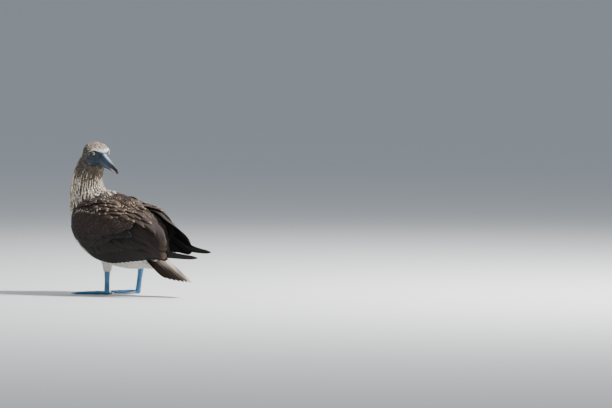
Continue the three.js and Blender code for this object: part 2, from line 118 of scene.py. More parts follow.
def noise(points: Array, seed: int) -> Array:
    """Work out a smooth noise from 0 to 1.

    Args:
        points: Places in three dimensions, where one unit is one lump.
        seed: Which of many like noises this is.

    Returns:
        One value for each point.
    """
    cell = np.floor(points)
    part = points - cell
    ease = part * part * (3 - 2 * part)
    total = np.zeros(len(points))
    for corner in np.ndindex(2, 2, 2):
        place = (cell + corner) @ np.array([127.1, 311.7, 74.7]) + 19.19 * seed
        value = np.sin(place) * 43758.5453
        weight = np.prod(np.where(corner, ease, 1 - ease), axis=1)
        total += weight * (value - np.floor(value))
    return total


@dataclass(frozen=True)
class Stations:
    """Values stated at a few places, with smooth values between them.

    Each row holds a place and one or more values.
    """

    rows: Rows

    def at(self, places: Array | float) -> Array:
        """Work out the values at some places.

        Args:
            places: Where the values are wanted, held to the stated range.

        Returns:
            An array of the places' shape with one more axis, for the values.
        """
        table = np.array(self.rows, float)
        spots, values = table[:, 0], table[:, 1:]
        last = len(spots) - 1
        where = np.clip(np.asarray(places, float), spots[0], spots[-1])
        k = np.clip(np.searchsorted(spots, where, side="right") - 1, 0, last - 1)
        before, after = np.maximum(k - 1, 0), np.minimum(k + 2, last)
        step = (spots[k + 1] - spots[k])[..., None]
        t = (where - spots[k])[..., None] / step
        slope_in = (values[k + 1] - values[before]) / (spots[k + 1] - spots[before])[..., None] * step
        slope_out = (values[after] - values[k]) / (spots[after] - spots[k])[..., None] * step
        t2, t3 = t * t, t * t * t
        curve = (2 * t3 - 3 * t2 + 1) * values[k] + (t3 - 2 * t2 + t) * slope_in
        return curve + (3 * t2 - 2 * t3) * values[k + 1] + (t3 - t2) * slope_out

    def one(self, places: Array | float) -> Array:
        """Work out the first value at some places."""
        return self.at(places)[..., 0]


@dataclass(frozen=True)
class Line:
    """A smooth line through a few points, walked by shares of its length."""

    points: Rows
    steps: int = 40

    def samples(self) -> tuple[Array, Array]:
        """Sample the line closely.

        Returns:
            The points on the line, and the share of its length at each.
        """
        given = np.array(self.points, float)
        ends = [2 * given[0] - given[1], *given, 2 * given[-1] - given[-2]]
        t = np.linspace(0, 1, self.steps, endpoint=False)[:, None]
        pieces = []
        for a, b, c, d in zip(ends, ends[1:], ends[2:], ends[3:]):
            near, mid, far = (math.sqrt(np.linalg.norm(q - p)) for p, q in ((a, b), (b, c), (c, d)))
            leave = ((b - a) / near - (c - a) / (near + mid) + (c - b) / mid) * mid
            arrive = ((c - b) / mid - (d - b) / (mid + far) + (d - c) / far) * mid
            t2, t3 = t * t, t * t * t
            bend = (t3 - 2 * t2 + t) * leave + (t3 - t2) * arrive
            pieces.append((2 * t3 - 3 * t2 + 1) * b + (3 * t2 - 2 * t3) * c + bend)
        found = np.vstack([*pieces, given[-1:]])
        run = np.concatenate([[0], np.cumsum(np.linalg.norm(np.diff(found, axis=0), axis=1))])
        return found, run / run[-1]

    def at(self, share: Array) -> Array:
        """Find the points at some shares of the length."""
        found, run = self.samples()
        return np.stack([np.interp(share, run, found[:, axis]) for axis in range(3)], axis=-1)

    def heading(self, share: Array) -> Array:
        """Find the unit directions of the line at some shares of the length."""
        step = 0.01
        return unit(self.at(np.clip(share + step, 0, 1)) - self.at(np.clip(share - step, 0, 1)))


@dataclass(frozen=True)
class Outline:
    """A closed outline in a plane, for masks with soft borders."""

    points: Rows

    def depth(self, places: Array) -> Array:
        """Measure how deep places are inside the outline.

        Args:
            places: Points in the outline's plane.

        Returns:
            The distance to the border, below 0 outside.
        """
        corners = np.array(self.points, float)
        inside = np.zeros(len(places), bool)
        nearest = np.full(len(places), np.inf)
        for a, b in zip(corners, np.roll(corners, -1, axis=0)):
            edge = b - a
            along = np.clip((places - a) @ edge / (edge @ edge), 0, 1)
            nearest = np.minimum(nearest, np.linalg.norm(places - a - along[:, None] * edge, axis=1))
            crosses = (a[1] > places[:, 1]) != (b[1] > places[:, 1])
            rise = b[1] - a[1] if b[1] != a[1] else 1e-9
            inside ^= crosses & (places[:, 0] < a[0] + edge[0] * (places[:, 1] - a[1]) / rise)
        return np.where(inside, nearest, -nearest)


@dataclass
class Frame:
    """Where the bird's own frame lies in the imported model's frame, and where its head lies in its own."""

    origin: Array = field(default_factory=lambda: np.zeros(3))
    head_centre: Triple = (-59, -8, 335)
    head_turn: float = -22
    head_nod: float = 17
    eye_place: Triple = (18, 16.5, 7)

    def head_axes(self) -> Array:
        """Find the head's own axes.

        Returns:
            A matrix whose columns are the head's forward, left and up.
        """
        turned = Matrix.Rotation(math.radians(self.head_turn), 3, "Z")
        return np.array(turned @ Matrix.Rotation(math.radians(self.head_nod), 3, "Y"))

    def settle(self) -> None:
        """Pin the bird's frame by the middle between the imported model's eyes."""
        corners = [corner for side in ("left", "right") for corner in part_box(f"eye_{side}")]
        middle = np.mean([np.array(corner) for corner in corners], axis=0)
        x, _, z = self.eye_place
        self.origin = middle / MM - self.from_head(np.array([[x, 0.0, z]]))[0]

    def from_head(self, points: Array) -> Array:
        """Take points from the head's frame to the bird's."""
        return points @ self.head_axes().T + np.array(self.head_centre)

    def to_head(self, points: Array) -> Array:
        """Take points from the bird's frame to the head's."""
        return (points - np.array(self.head_centre)) @ self.head_axes()

    def world(self, points: Array) -> Array:
        """Take points from the bird's frame, in millimetres, to the model's, in metres."""
        return (points + self.origin) * MM

    def bird(self, points: Array) -> Array:
        """Take points from the model's frame, in metres, to the bird's, in millimetres."""
        return points / MM - self.origin


FRAME = Frame()


def mesh_points(mesh: Mesh) -> Array:
    """Read a mesh's vertices as an array."""
    found = np.empty(len(mesh.vertices) * 3, np.float32)
    mesh.vertices.foreach_get("co", found)
    return found.reshape(-1, 3).astype(float)


def set_points(mesh: Mesh, points: Array) -> None:
    """Write a mesh's vertices from an array."""
    mesh.vertices.foreach_set("co", points.astype(np.float32).ravel())
    mesh.update()


def mesh_of(shape: bmesh.types.BMesh, name: str) -> Mesh:
    """Turn a finished bmesh into a mesh and free it."""
    mesh = bpy.data.meshes.new(name)
    shape.to_mesh(mesh)
    shape.free()
    return mesh


def paint(mesh: Mesh, name: str, colours: Array) -> None:
    """Keep a colour for each vertex of a mesh.

    Args:
        mesh: The mesh to paint.
        name: The attribute's name.
        colours: Three or four numbers for each vertex, or one.
    """
    if colours.ndim == 1:
        layer = mesh.attributes.new(name, "FLOAT", "POINT")
        layer.data.foreach_set("value", colours.astype(np.float32))
        return
    if colours.shape[1] == 3:
        colours = np.column_stack([colours, np.ones(len(colours))])
    layer = mesh.attributes.new(name, "FLOAT_COLOR", "POINT")
    layer.data.foreach_set("color", colours.astype(np.float32).ravel())


def plain(mesh: Mesh, tone: Array) -> None:
    """Paint a whole mesh as feathered skin of one colour."""
    paint(mesh, "Plumage", np.tile(tone, (len(mesh.vertices), 1)))
    paint(mesh, "Bare", np.zeros(len(mesh.vertices)))


def linked(name: str, data: bpy.types.ID) -> bpy.types.Object:
    """Add an object to the scene."""
    made = bpy.data.objects.new(name, data)
    bpy.context.scene.collection.objects.link(made)
    return made


def place(mesh: Mesh, material: Material, slot: str, *nodes: str) -> bpy.types.Object:
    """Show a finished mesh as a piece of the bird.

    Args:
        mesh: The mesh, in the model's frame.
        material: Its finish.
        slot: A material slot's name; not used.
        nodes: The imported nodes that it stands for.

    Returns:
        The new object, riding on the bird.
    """
    piece = linked(mesh.name, mesh)
    mesh.materials.clear()
    mesh.materials.append(material)
    mesh.shade_smooth()
    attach(piece, "root")
    if nodes:
        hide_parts(*nodes)
    log.info("%s: %d faces", piece.name, len(mesh.polygons))
    return piece


def settled(piece: bpy.types.Object) -> Mesh:
    """Apply a piece's modifiers and remove the piece.

    Args:
        piece: An object with modifiers.

    Returns:
        The mesh that its modifiers make.
    """
    graph = bpy.context.evaluated_depsgraph_get()
    made = bpy.data.meshes.new_from_object(piece.evaluated_get(graph))
    old = piece.data
    name = old.name
    bpy.data.objects.remove(piece)
    bpy.data.meshes.remove(old)
    made.name = name
    return made


@dataclass(frozen=True)
class Sweep:
    """A closed form swept along a line, such as a neck, a bill or a toe.

    The stations hold half width, height above and depth below, where above is side x heading.
    """

    line: Line
    stations: Stations
    rows: int
    sides: int
    across: Triple = (0, 1, 0)
    end_power: float = 0
    fullness: float = 1
    even: bool = False
    in_head: bool = False
    swell: float = 0
    relief: Relief = None

    def mesh(self, name: str) -> Mesh:
        """Build the form from a sphere whose rows are laid along the line.

        Args:
            name: The mesh's name.

        Returns:
            The form in the bird's frame, in millimetres.
        """
        shape = bmesh.new()
        bmesh.ops.create_uvsphere(shape, u_segments=self.sides, v_segments=self.rows, radius=1)
        mesh = mesh_of(shape, name)
        ball = mesh_points(mesh)
        height = np.clip(ball[:, 2], -1, 1)
        along = np.arccos(-height) / np.pi if self.even else (1 + height) / 2
        turn = np.arctan2(ball[:, 1], ball[:, 0])
        sizes = self.stations.at(along)
        if self.end_power:
            sizes = sizes * np.sqrt(np.maximum(0, 1 - np.abs(2 * along - 1) ** self.end_power))[:, None]
        sizes = sizes + self.swell
        sizes[np.abs(height) > 1 - 1e-6] = 0
        if self.relief:
            sizes = sizes * self.relief(along, turn)[:, None]
        ways = (np.cos(turn), np.sin(turn))
        breadth, rise = (np.sign(way) * np.abs(way) ** self.fullness for way in ways)
        heading = self.line.heading(along)
        across = np.array(self.across, float)
        side = unit(across - (heading @ across)[:, None] * heading)
        over = np.cross(side, heading)
        tall = np.where(rise > 0, sizes[:, 1], sizes[:, 2])
        wide, high = (sizes[:, 0] * breadth)[:, None], (rise * tall)[:, None]
        points = self.line.at(along) + side * wide + over * high
        set_points(mesh, FRAME.from_head(points) if self.in_head else points)
        outward(mesh)
        return mesh


def outward(mesh: Mesh) -> None:
    """Turn the faces of a closed mesh outwards."""
    shape = bmesh.new()
    shape.from_mesh(mesh)
    bmesh.ops.remove_doubles(shape, verts=shape.verts, dist=1e-5)
    bmesh.ops.recalc_face_normals(shape, faces=shape.faces)
    shape.to_mesh(mesh)
    shape.free()
    mesh.update()


def fused(meshes: list[Mesh], name: str, voxel: float, rounds: int) -> Mesh:
    """Fuse closed forms into one smooth skin.

    Args:
        meshes: The forms in the bird's frame, in millimetres; they are used up.
        name: The skin's name.
        voxel: How fine the skin is, in millimetres.
        rounds: How often it is smoothed.

    Returns:
        The skin in the model's frame.
    """
    shape = bmesh.new()
    for mesh in meshes:
        shape.from_mesh(mesh)
        bpy.data.meshes.remove(mesh)
    joined = mesh_of(shape, name)
    set_points(joined, FRAME.world(mesh_points(joined)))
    piece = linked(name, joined)
    remesh = piece.modifiers.new("fuse", "REMESH")
    remesh.mode = "VOXEL"
    remesh.voxel_size = voxel * MM
    relax = piece.modifiers.new("relax", "SMOOTH")
    relax.factor = 0.5
    relax.iterations = rounds
    return settled(piece)


class Nodes:
    """A material's or a group's node tree, with short ways to add to it."""

    def __init__(self, tree: bpy.types.NodeTree) -> None:
        """Start on an empty tree."""
        self.tree = tree
        tree.nodes.clear()

    def add(self, kind: str, values: Values | None = None, **settings: object) -> bpy.types.Node:
        """Add a node.

        Args:
            kind: The node type's name without its "ShaderNode" prefix.
            values: What its inputs hold or are linked to, by name or number.
            settings: The node's own properties.

        Returns:
            The new node.
        """
        prefix = "" if kind.startswith("NodeGroup") else "ShaderNode"
        made = self.tree.nodes.new(prefix + kind)
        for name, value in settings.items():
            setattr(made, name, value)
        for name, value in (values or {}).items():
            self.feed(made.inputs[name], value)
        return made

    def feed(self, socket: Socket, value: object) -> None:
        """Link a socket to an output, or set what it holds."""
        if isinstance(value, bpy.types.NodeSocket):
            self.tree.links.new(value, socket)
        else:
            socket.default_value = value

    def attribute(self, name: str, part: str = "Fac") -> Socket:
        """Read one of the mesh's attributes."""
        return self.add("Attribute", attribute_name=name).outputs[part]

    def noise(self, scale: object, detail: float, roughness: float = 0.5) -> Socket:
        """Add a noise over the object's own coordinates and return its value."""
        spot = self.add("TexCoord").outputs["Object"]
        given = {"Vector": spot, "Scale": scale, "Detail": detail, "Roughness": roughness}
        return self.add("TexNoise", given).outputs[0]

    def math(self, operation: str, *values: object) -> Socket:
        """Add a Math node and return its result."""
        return self.add("Math", dict(enumerate(values)), operation=operation).outputs[0]

    def mix(self, factor: object, first: object, second: object, blend: str = "MIX") -> Socket:
        """Mix two colours and return the result."""
        made = self.add("Mix", data_type="RGBA", blend_type=blend)
        for number, value in ((0, factor), (6, first), (7, second)):
            self.feed(made.inputs[number], value)
        return made.outputs[2]

    def ramp(self, value: Socket, stops: tuple[tuple[float, str], ...]) -> Socket:
        """Colour a value by a ramp of web colours and return the colour."""
        made = self.add("ValToRGB", {0: value})
        marks = made.color_ramp.elements
        while len(marks) < len(stops):
            marks.new(0.5)
        for mark, (spot, code) in zip(marks, stops):
            mark.position = spot
            mark.color = linear(code)
        return made.outputs[0]

    def ease(self, value: object, low: object, high: object) -> Socket:
        """Rise smoothly from 0 to 1 between two values and return the result."""
        made = self.add("MapRange", {0: value, 1: low, 2: high}, interpolation_type="SMOOTHSTEP", clamp=True)
        return made.outputs[0]


def shader_group(name: str, inputs: dict[str, tuple[str, object]], outputs: dict[str, str]) -> tuple:
    """Start a shader node group.

    Args:
        name: The group's name.
        inputs: For each input its kind of socket and its value.
        outputs: For each output its kind of socket.

    Returns:
        The group's tree and nodes, what it is given, and what its results are fed to.
    """
    tree = bpy.data.node_groups.new(name, "ShaderNodeTree")
    for label, (kind, value) in inputs.items():
        socket = tree.interface.new_socket(label, in_out="INPUT", socket_type=f"NodeSocket{kind}")
        if value is not None:
            socket.default_value = value
    for label, kind in outputs.items():
        tree.interface.new_socket(label, in_out="OUTPUT", socket_type=f"NodeSocket{kind}")
    nodes = Nodes(tree)
    return tree, nodes, nodes.add("NodeGroupInput").outputs, nodes.add("NodeGroupOutput").inputs


def vane_group() -> bpy.types.NodeTree:
    """Build the look of one feather: its barbs, shaft and trimmed edge."""
    tree, nodes, given, result = shader_group(
        "Feather vane",
        {
            "Vane": ("Vector", None), "Colour": ("Color", (0.5, 0.5, 0.5, 1)),
            "Trim": ("Color", (0.5, 0.5, 0.5, 1)), "Trim amount": ("Float", 0.0), "Barbs": ("Float", 60.0),
            "Shaft": ("Float", 0.0), "Contrast": ("Float", 0.15), "Trim from": ("Float", 0.66),
        },
        {"Colour": "Color", "Height": "Float"},
    )
    parts = nodes.add("SeparateXYZ", {0: given["Vane"]})
    offset = nodes.math("ABSOLUTE", nodes.math("SUBTRACT", parts.outputs[0], 0.5))
    across = nodes.math("MULTIPLY", offset, 2.0)
    along = parts.outputs[1]
    ragged = nodes.add("TexNoise", {"Vector": given["Vane"], "Scale": 9.0, "Detail": 3.0})
    swept = nodes.math("SUBTRACT", along, nodes.math("MULTIPLY", across, 0.28))
    lines = nodes.math("MULTIPLY", swept, given["Barbs"])
    wobble = nodes.math("ADD", lines, nodes.math("MULTIPLY", ragged.outputs[0], 5.0))
    barbs = nodes.math("SINE", wobble)
    rim = nodes.math("MAXIMUM", nodes.math("POWER", along, 1.6), nodes.math("MULTIPLY", across, along))
    drift = nodes.math("MULTIPLY", nodes.math("SUBTRACT", ragged.outputs[0], 0.5), 0.3)
    torn = nodes.math("ADD", rim, drift)
    full = nodes.math("ADD", given["Trim from"], 0.16)
    edge = nodes.math("MULTIPLY", nodes.ease(torn, given["Trim from"], full), given["Trim amount"])
    trimmed = nodes.mix(edge, given["Colour"], given["Trim"])
    shade = nodes.math("MULTIPLY", barbs, given["Contrast"])
    # Painted shade: each feather is darkened by up to a quarter towards its root, where the feathers over it
    # would shade it.
    deep = nodes.math("MULTIPLY", nodes.math("SUBTRACT", 1.0, nodes.ease(along, 0.0, 0.55)), 0.25)
    tone = nodes.math("SUBTRACT", nodes.math("ADD", 1.0, shade), deep)
    grey = nodes.add("CombineColor", {0: tone, 1: tone, 2: tone})
    shaded = nodes.mix(1.0, trimmed, grey.outputs[0], "MULTIPLY")
    middle = nodes.math("SUBTRACT", 1.0, nodes.ease(across, 0.02, 0.09))
    quill = nodes.math("MULTIPLY", middle, given["Shaft"])
    nodes.feed(result["Colour"], nodes.mix(quill, shaded, linear("#8a7a66")))
    nodes.feed(result["Height"], nodes.math("ADD", barbs, nodes.math("MULTIPLY", quill, 4.0)))
    return tree


def mottle_group() -> bpy.types.NodeTree:
    """Build an uneven tone, in large and small patches, for skin and horn."""
    tree, nodes, given, result = shader_group(
        "Mottle",
        {
            "Colour": ("Color", (0.5, 0.5, 0.5, 1)), "Other": ("Color", (0.3, 0.3, 0.3, 1)),
            "Scale": ("Float", 60.0), "Amount": ("Float", 0.5),
        },
        {"Colour": "Color", "Mask": "Float"},
    )
    patches = nodes.ease(nodes.noise(given["Scale"], 6.0, 0.6), 0.35, 0.68)
    mask = nodes.math("MULTIPLY", patches, given["Amount"])
    nodes.feed(result["Colour"], nodes.mix(mask, given["Colour"], given["Other"]))
    nodes.feed(result["Mask"], mask)
    return tree


def scale_group() -> bpy.types.NodeTree:
    """Build the small plates of bare skin, as a height and as dark grooves between them."""
    tree, nodes, given, result = shader_group(
        "Skin plates", {"Size": ("Float", 400.0), "Stretch": ("Vector", (1.0, 1.0, 1.0))},
        {"Height": "Float", "Groove": "Float"},
    )
    spot = nodes.add("TexCoord").outputs["Object"]
    stretched = nodes.add("VectorMath", {0: spot, 1: given["Stretch"]}, operation="MULTIPLY")
    cells = nodes.add("TexVoronoi", {"Vector": stretched.outputs[0], "Scale": given["Size"]})
    cells.feature = "DISTANCE_TO_EDGE"
    domed = nodes.ease(cells.outputs["Distance"], 0.0, 0.28)
    nodes.feed(result["Height"], domed)
    seam = nodes.ease(cells.outputs["Distance"], 0.0, 0.1)
    nodes.feed(result["Groove"], nodes.math("SUBTRACT", 1.0, seam))
    return tree


class Groups(Enum):
    """The shared shader node groups, by the function that builds each."""

    VANE = "Feather vane"
    MOTTLE = "Mottle"
    PLATES = "Skin plates"

    def tree(self) -> bpy.types.NodeTree:
        """Find the group's tree, building it the first time."""
        builders = {Groups.VANE: vane_group, Groups.MOTTLE: mottle_group, Groups.PLATES: scale_group}
        return bpy.data.node_groups.get(self.value) or builders[self]()


def new_material(name: str) -> tuple[Material, Nodes]:
    """Start a material and return it with its empty node tree."""
    material = bpy.data.materials.new(name)
    material.use_nodes = True
    return material, Nodes(material.node_tree)


def finish(nodes: Nodes, values: dict[str, object], bump: tuple[Socket, float, float] | None = None) -> None:
    """Close a material with its surface shader.

    Args:
        nodes: The material's nodes.
        values: The shader's inputs, by name.
        bump: A height, how strongly it shows and how far it reaches in metres.
    """
    shader = nodes.add("BsdfPrincipled", values)
    if bump:
        height, strength, distance = bump
        relief = nodes.add("Bump", {"Strength": strength, "Distance": distance, "Height": height})
        nodes.feed(shader.inputs["Normal"], relief.outputs[0])
    nodes.add("OutputMaterial", {"Surface": shader.outputs[0]})


@dataclass(frozen=True)
class FeatherFinish:
    """The finish of feathers, which take their colours from their own attributes."""

    name: str
    roughness: float
    sheen: float
    barbs: float
    shaft: float
    contrast: float
    relief: float
    trim_from: float

    def material(self) -> Material:
        """Build the finish as a material."""
        material, nodes = new_material(self.name)
        trim = nodes.add("Attribute", attribute_name="Trim")
        given = {
            "Vane": nodes.add("UVMap", uv_map="Vane").outputs[0],
            "Colour": nodes.attribute("Plumage", "Color"), "Trim": trim.outputs["Color"],
            "Trim amount": trim.outputs["Alpha"], "Barbs": self.barbs, "Shaft": self.shaft,
            "Contrast": self.contrast, "Trim from": self.trim_from,
        }
        looks = nodes.add("Group", given, node_tree=Groups.VANE.tree())
        values = {
            "Base Color": looks.outputs["Colour"], "Roughness": self.roughness, "Sheen Weight": self.sheen,
            "Sheen Roughness": 0.5, "Specular IOR Level": 0.25,
        }
        finish(nodes, values, (looks.outputs["Height"], self.relief, 0.0003))
        return material


def skin_material() -> Material:
    """Build the skin: down in the coat's colours, and bare slate-blue skin on the face."""
    material, nodes = new_material("skin")
    bare = nodes.attribute("Bare")
    looks = {"Colour": linear("#24364a"), "Other": linear("#111a25"), "Scale": 80.0, "Amount": 0.75}
    mottle = nodes.add("Group", looks, node_tree=Groups.MOTTLE.tree())
    plates = nodes.add("Group", {"Size": 900.0}, node_tree=Groups.PLATES.tree())
    groove = nodes.math("MULTIPLY", plates.outputs["Groove"], 0.35)
    seamed = nodes.mix(groove, mottle.outputs[0], linear("#0b1016"))
    fluff = nodes.noise(700.0, 4.0)
    height = nodes.add("Mix", {0: bare, 2: fluff, 3: plates.outputs["Height"]}, data_type="FLOAT")
    # Painted shade: the skin goes near-black along the line of the mouth and in the hollow round the eye.
    crease_shade = nodes.math("MULTIPLY", nodes.attribute("Crease"), 0.7)
    base = nodes.mix(bare, nodes.attribute("Plumage", "Color"), nodes.mix(crease_shade, seamed, linear("#05080b")))
    rough = nodes.math("SUBTRACT", 0.9, nodes.math("MULTIPLY", bare, 0.42))
    finish(nodes, {"Base Color": base, "Roughness": rough}, (height.outputs[0], 0.5, 0.0004))
    return material


@dataclass(frozen=True)
class HornFinish:
    """The finish of the bill and the claws."""

    name: str
    ramp: tuple[tuple[float, str], ...]
    dark: str
    roughness: float
    mottle_scale: float
    mottle_amount: float

    def material(self) -> Material:
        """Build the finish, coloured along the piece by its attribute Along."""
        material, nodes = new_material(self.name)
        tint = nodes.add("Attribute", attribute_name="Tint")
        looks = {
            "Colour": nodes.ramp(nodes.attribute("Along"), self.ramp), "Other": linear(self.dark),
            "Scale": self.mottle_scale, "Amount": self.mottle_amount,
        }
        mottle = nodes.add("Group", looks, node_tree=Groups.MOTTLE.tree())
        # The attribute Tint mixes in the bill's painted highlight on the culmen and its flesh-coloured edge
        # near the tip.
        tinted = nodes.mix(tint.outputs["Alpha"], mottle.outputs[0], tint.outputs["Color"])
        grain = nodes.noise(260.0, 8.0, 0.7)
        rough = nodes.math("ADD", self.roughness - 0.08, nodes.math("MULTIPLY", grain, 0.22))
        finish(nodes, {"Base Color": tinted, "Roughness": rough, "Coat Weight": 0.12}, (grain, 0.25, 0.0005))
        return material


@dataclass(frozen=True)
class BareSkinFinish:
    """The finish of the blue legs and feet."""

    name: str
    base: str
    other: str
    groove: str
    plate: float
    stretch: Triple

    def material(self) -> Material:
        """Build the finish, with webs smoother than toes by the attribute Web."""
        material, nodes = new_material(self.name)
        looks = {"Colour": linear(self.base), "Other": linear(self.other), "Scale": 75.0, "Amount": 0.75}
        mottle = nodes.add("Group", looks, node_tree=Groups.MOTTLE.tree())
        sizes = {"Size": self.plate, "Stretch": self.stretch}
        plates = nodes.add("Group", sizes, node_tree=Groups.PLATES.tree())
        firm = nodes.math("SUBTRACT", 1.0, nodes.math("MULTIPLY", nodes.attribute("Web"), 0.75))
        depth = nodes.math("MULTIPLY", nodes.math("MULTIPLY", plates.outputs["Groove"], 0.6), firm)
        seamed = nodes.mix(depth, mottle.outputs[0], linear(self.groove))
        rough = nodes.math("ADD", 0.42, nodes.math("MULTIPLY", mottle.outputs["Mask"], 0.15))
        height = nodes.math("MULTIPLY", plates.outputs["Height"], firm)
        values = {"Base Color": seamed, "Roughness": rough, "Coat Weight": 0.08}
        finish(nodes, values, (height, 0.55, 0.0005))
        return material


@dataclass(frozen=True)
class EyeFinish:
    """The finish of an eyeball, by the angle from the middle of its pupil, as a share of a quarter turn."""

    stops: tuple[tuple[float, str], ...] = (
        (0.0, "#040404"), (0.23, "#040404"), (0.255, "#5f6448"), (0.3, "#cdd2a4"), (0.46, "#bac08a"),
        (0.51, "#5a5a42"), (0.56, "#0a0b0c"), (1.0, "#0a0b0c"),
    )

    def material(self) -> Material:
        """Build the wet eye."""
        material, nodes = new_material("eye")
        polar = nodes.attribute("Polar")
        iris = nodes.ramp(polar, self.stops)
        fibres = nodes.ease(nodes.noise(1400.0, 3.0), 0.5, 0.7)
        veined = nodes.mix(fibres, iris, linear("#8d8650"), "MULTIPLY")
        ringed = nodes.mix(nodes.math("MULTIPLY", nodes.ease(polar, 0.3, 0.36), 0.25), iris, veined)
        finish(nodes, {"Base Color": ringed, "Roughness": 0.06, "Coat Weight": 1.0, "Coat Roughness": 0.02})
        return material


# The forms of the body, each as [share of its line, half width, height above, depth below].
TORSO_LINE = Line(((162, 0, 93), (120, 0, 118), (50, 0, 144), (-30, 0, 162), (-92, 0, 176), (-128, 0, 188)))
TORSO_SECTIONS = Stations((
    (0, 22, 16, 16), (0.08, 34, 38, 32), (0.16, 44, 52, 57), (0.23, 51, 62, 69), (0.41, 61, 74, 84),
    (0.675, 66, 84, 85), (0.81, 61, 80, 77), (1, 54, 70, 62),
))
VENT_LINE = Line(((60, 0, 92), (105, 0, 84), (144, 0, 80)))
VENT_SECTIONS = Stations(((0, 34, 20, 25), (0.5, 30, 20, 22), (1, 17, 14, 14)))
NECK_LINE = Line((
    (-64, 0, 152), (-90, 0, 204), (-102, -1, 246), (-98, -5, 274), (-85, -7, 303), (-58, -8, 332),
))
NECK_SECTIONS = Stations((
    (0, 58, 64, 58), (0.3, 51, 55, 51), (0.5, 42, 44, 42), (0.66, 36, 37, 36), (0.82, 32.5, 35, 33),
    (1, 31, 30, 30),
))
HEAD_LINE = Line(((-43, 0, -7), (-7, 0, 0), (52, 0, -4)))
HEAD_SECTIONS = Stations((
    (0, 28, 23, 33), (0.28, 30.5, 25.5, 34), (0.52, 29, 25.8, 30), (0.68, 22, 23, 26),
    (0.8, 15.5, 18.5, 19.5), (1, 12, 14, 16),
))
HEAD_LEFT = (0, -1, 0)
NAPE_LINE = Line(((-77, -9, 312), (-70, -10, 331), (-63, -10, 348)))
NAPE_SECTIONS = Stations(((0, 27, 27, 27), (0.5, 28.5, 28.5, 28.5), (1, 22, 22, 22)))


@dataclass(frozen=True)
class Footprint:
    """Where one foot stands, how far it is turned out, and how its leg rises."""

    x: float
    y: float
    turn: float
    lean: float
    shank: float

    def hip(self) -> Array:
        """Find the middle of the thigh inside the body."""
        return np.array([self.x + self.lean + 2, self.y * 0.95, 118.0])

    def ankle(self) -> Array:
        """Find the joint where the feathers end."""
        return np.array([self.x + self.lean, self.y, self.shank])

    def heel(self) -> Array:
        """Find the middle of the foot's root."""
        return np.array([self.x, self.y, 5.0])


class Side(Enum):
    """The bird's two sides, by the sign of Y."""

    LEFT = -1
    RIGHT = 1

    @property
    def label(self) -> str:
        """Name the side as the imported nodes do."""
        return self.name.lower()


FEET = {Side.LEFT: Footprint(4, -42, 15, 1, 54), Side.RIGHT: Footprint(26, 42, -3, 10, 62)}
THIGH_SECTIONS = Stations((
    (0, 20, 24, 24), (0.42, 18, 20, 20), (0.7, 12, 13, 13), (0.85, 9.4, 10.6, 10.6), (1, 8.2, 9.4, 9.4),
))


@dataclass(frozen=True)
class WingSurface:
    """The surface that a folded wing's feathers lie on."""

    side: Side
    right_rise: float = 12
    hip_rise: float = 6
    sections: Stations = Stations((
        (-100, 62, 167, 92, 92), (-60, 75, 160, 95, 94), (0, 81, 150, 90, 95), (50, 79, 141, 74, 93),
        (110, 65, 129, 66, 78), (150, 51, 120, 50, 62), (200, 42, 105, 40, 40), (240, 34, 100, 30, 30),
        (287, 26, 97, 24, 24),
    ))
    lower_edge: Stations = Stations((
        (-95, 6), (-92, -10), (-84, -23), (-62, -39), (-20, -58), (38, -68), (110, -50), (161, -28),
        (200, -14), (240, -7), (287, -2),
    ))
    upper_edge: Stations = Stations((
        (-95, 16), (-92, 26), (-84, 34), (-66, 42), (-20, 50), (13, 54), (56, 66), (90, 62), (121, 50),
        (158, 34), (176, 20), (197, 9), (240, 5), (287, 1),
    ))

    def rise(self, x: Array) -> Array:
        """Find how much higher this wing is carried than the left one."""
        if self.side is Side.LEFT:
            return np.zeros_like(x)
        return self.right_rise * smooth(-90, 90, x) + self.hip_rise * bell(x, 100, 45)

    def at(self, x: Array, above: Array, lift: Array | float) -> Array:
        """Find points of the surface.

        Args:
            x: Where they are along the bird.
            above: Their distance above the wing's broadest line, measured over the surface.
            lift: How far they stand off it.

        Returns:
            The points in the bird's frame.
        """
        x = np.asarray(x, float)
        above = np.asarray(above, float)
        breadth, middle, high, low = np.moveaxis(self.sections.at(x), -1, 0)
        height = np.where(above > 0, high, low)
        turn = above / ((breadth + height) / 2)
        y = self.side.value * (breadth + lift) * np.cos(turn)
        carried = self.rise(x) * (1 - 0.75 * smooth(64, 112, above))
        return np.stack([x, y, middle + carried + (height + lift) * np.sin(turn)], axis=-1)

    def above(self, x: Array, share: Array, beyond: Array | float = 0) -> Array:
        """Find how far above the broadest line a share of the way from the lower edge to the upper is."""
        low, high = self.lower_edge.one(x), self.upper_edge.one(x)
        return low + (high - low) * share + beyond

    def covers(self, points: Array, margin: float) -> Array:
        """Tell which points of the body lie well under the folded wing."""
        x = points[:, 0]
        breadth, middle, high, low = np.moveaxis(self.sections.at(x), -1, 0)
        up = points[:, 2] - middle - self.rise(x)
        height = np.where(up > 0, high, low)
        above = np.arctan2(up / height, np.abs(points[:, 1]) / breadth) * (breadth + height) / 2
        within = (above > self.lower_edge.one(x) + margin) & (above < self.upper_edge.one(x) - margin)
        return within & (x > -88) & (x < 170) & (points[:, 1] * self.side.value > 0)


WINGS = {side: WingSurface(side) for side in Side}


class Tone(Enum):
    """The plumage's colours."""

    CREAM = "#efe4cf"
    WHITE = "#f3eee4"
    STREAK = "#33271f"
    WARM = "#6f4d35"
    CROWN = "#69442e"
    CHEEK = "#40372f"
    THROAT = "#5a4e40"
    MANTLE = "#33251e"
    COVERT = "#241a17"
    FLIGHT = "#0f0c0c"
    TIP = "#c4a98a"
    RUMP = "#8d7f72"

    def rgb(self) -> Array:
        """Give the colour as three linear numbers."""
        return np.array(linear(self.value)[:3])


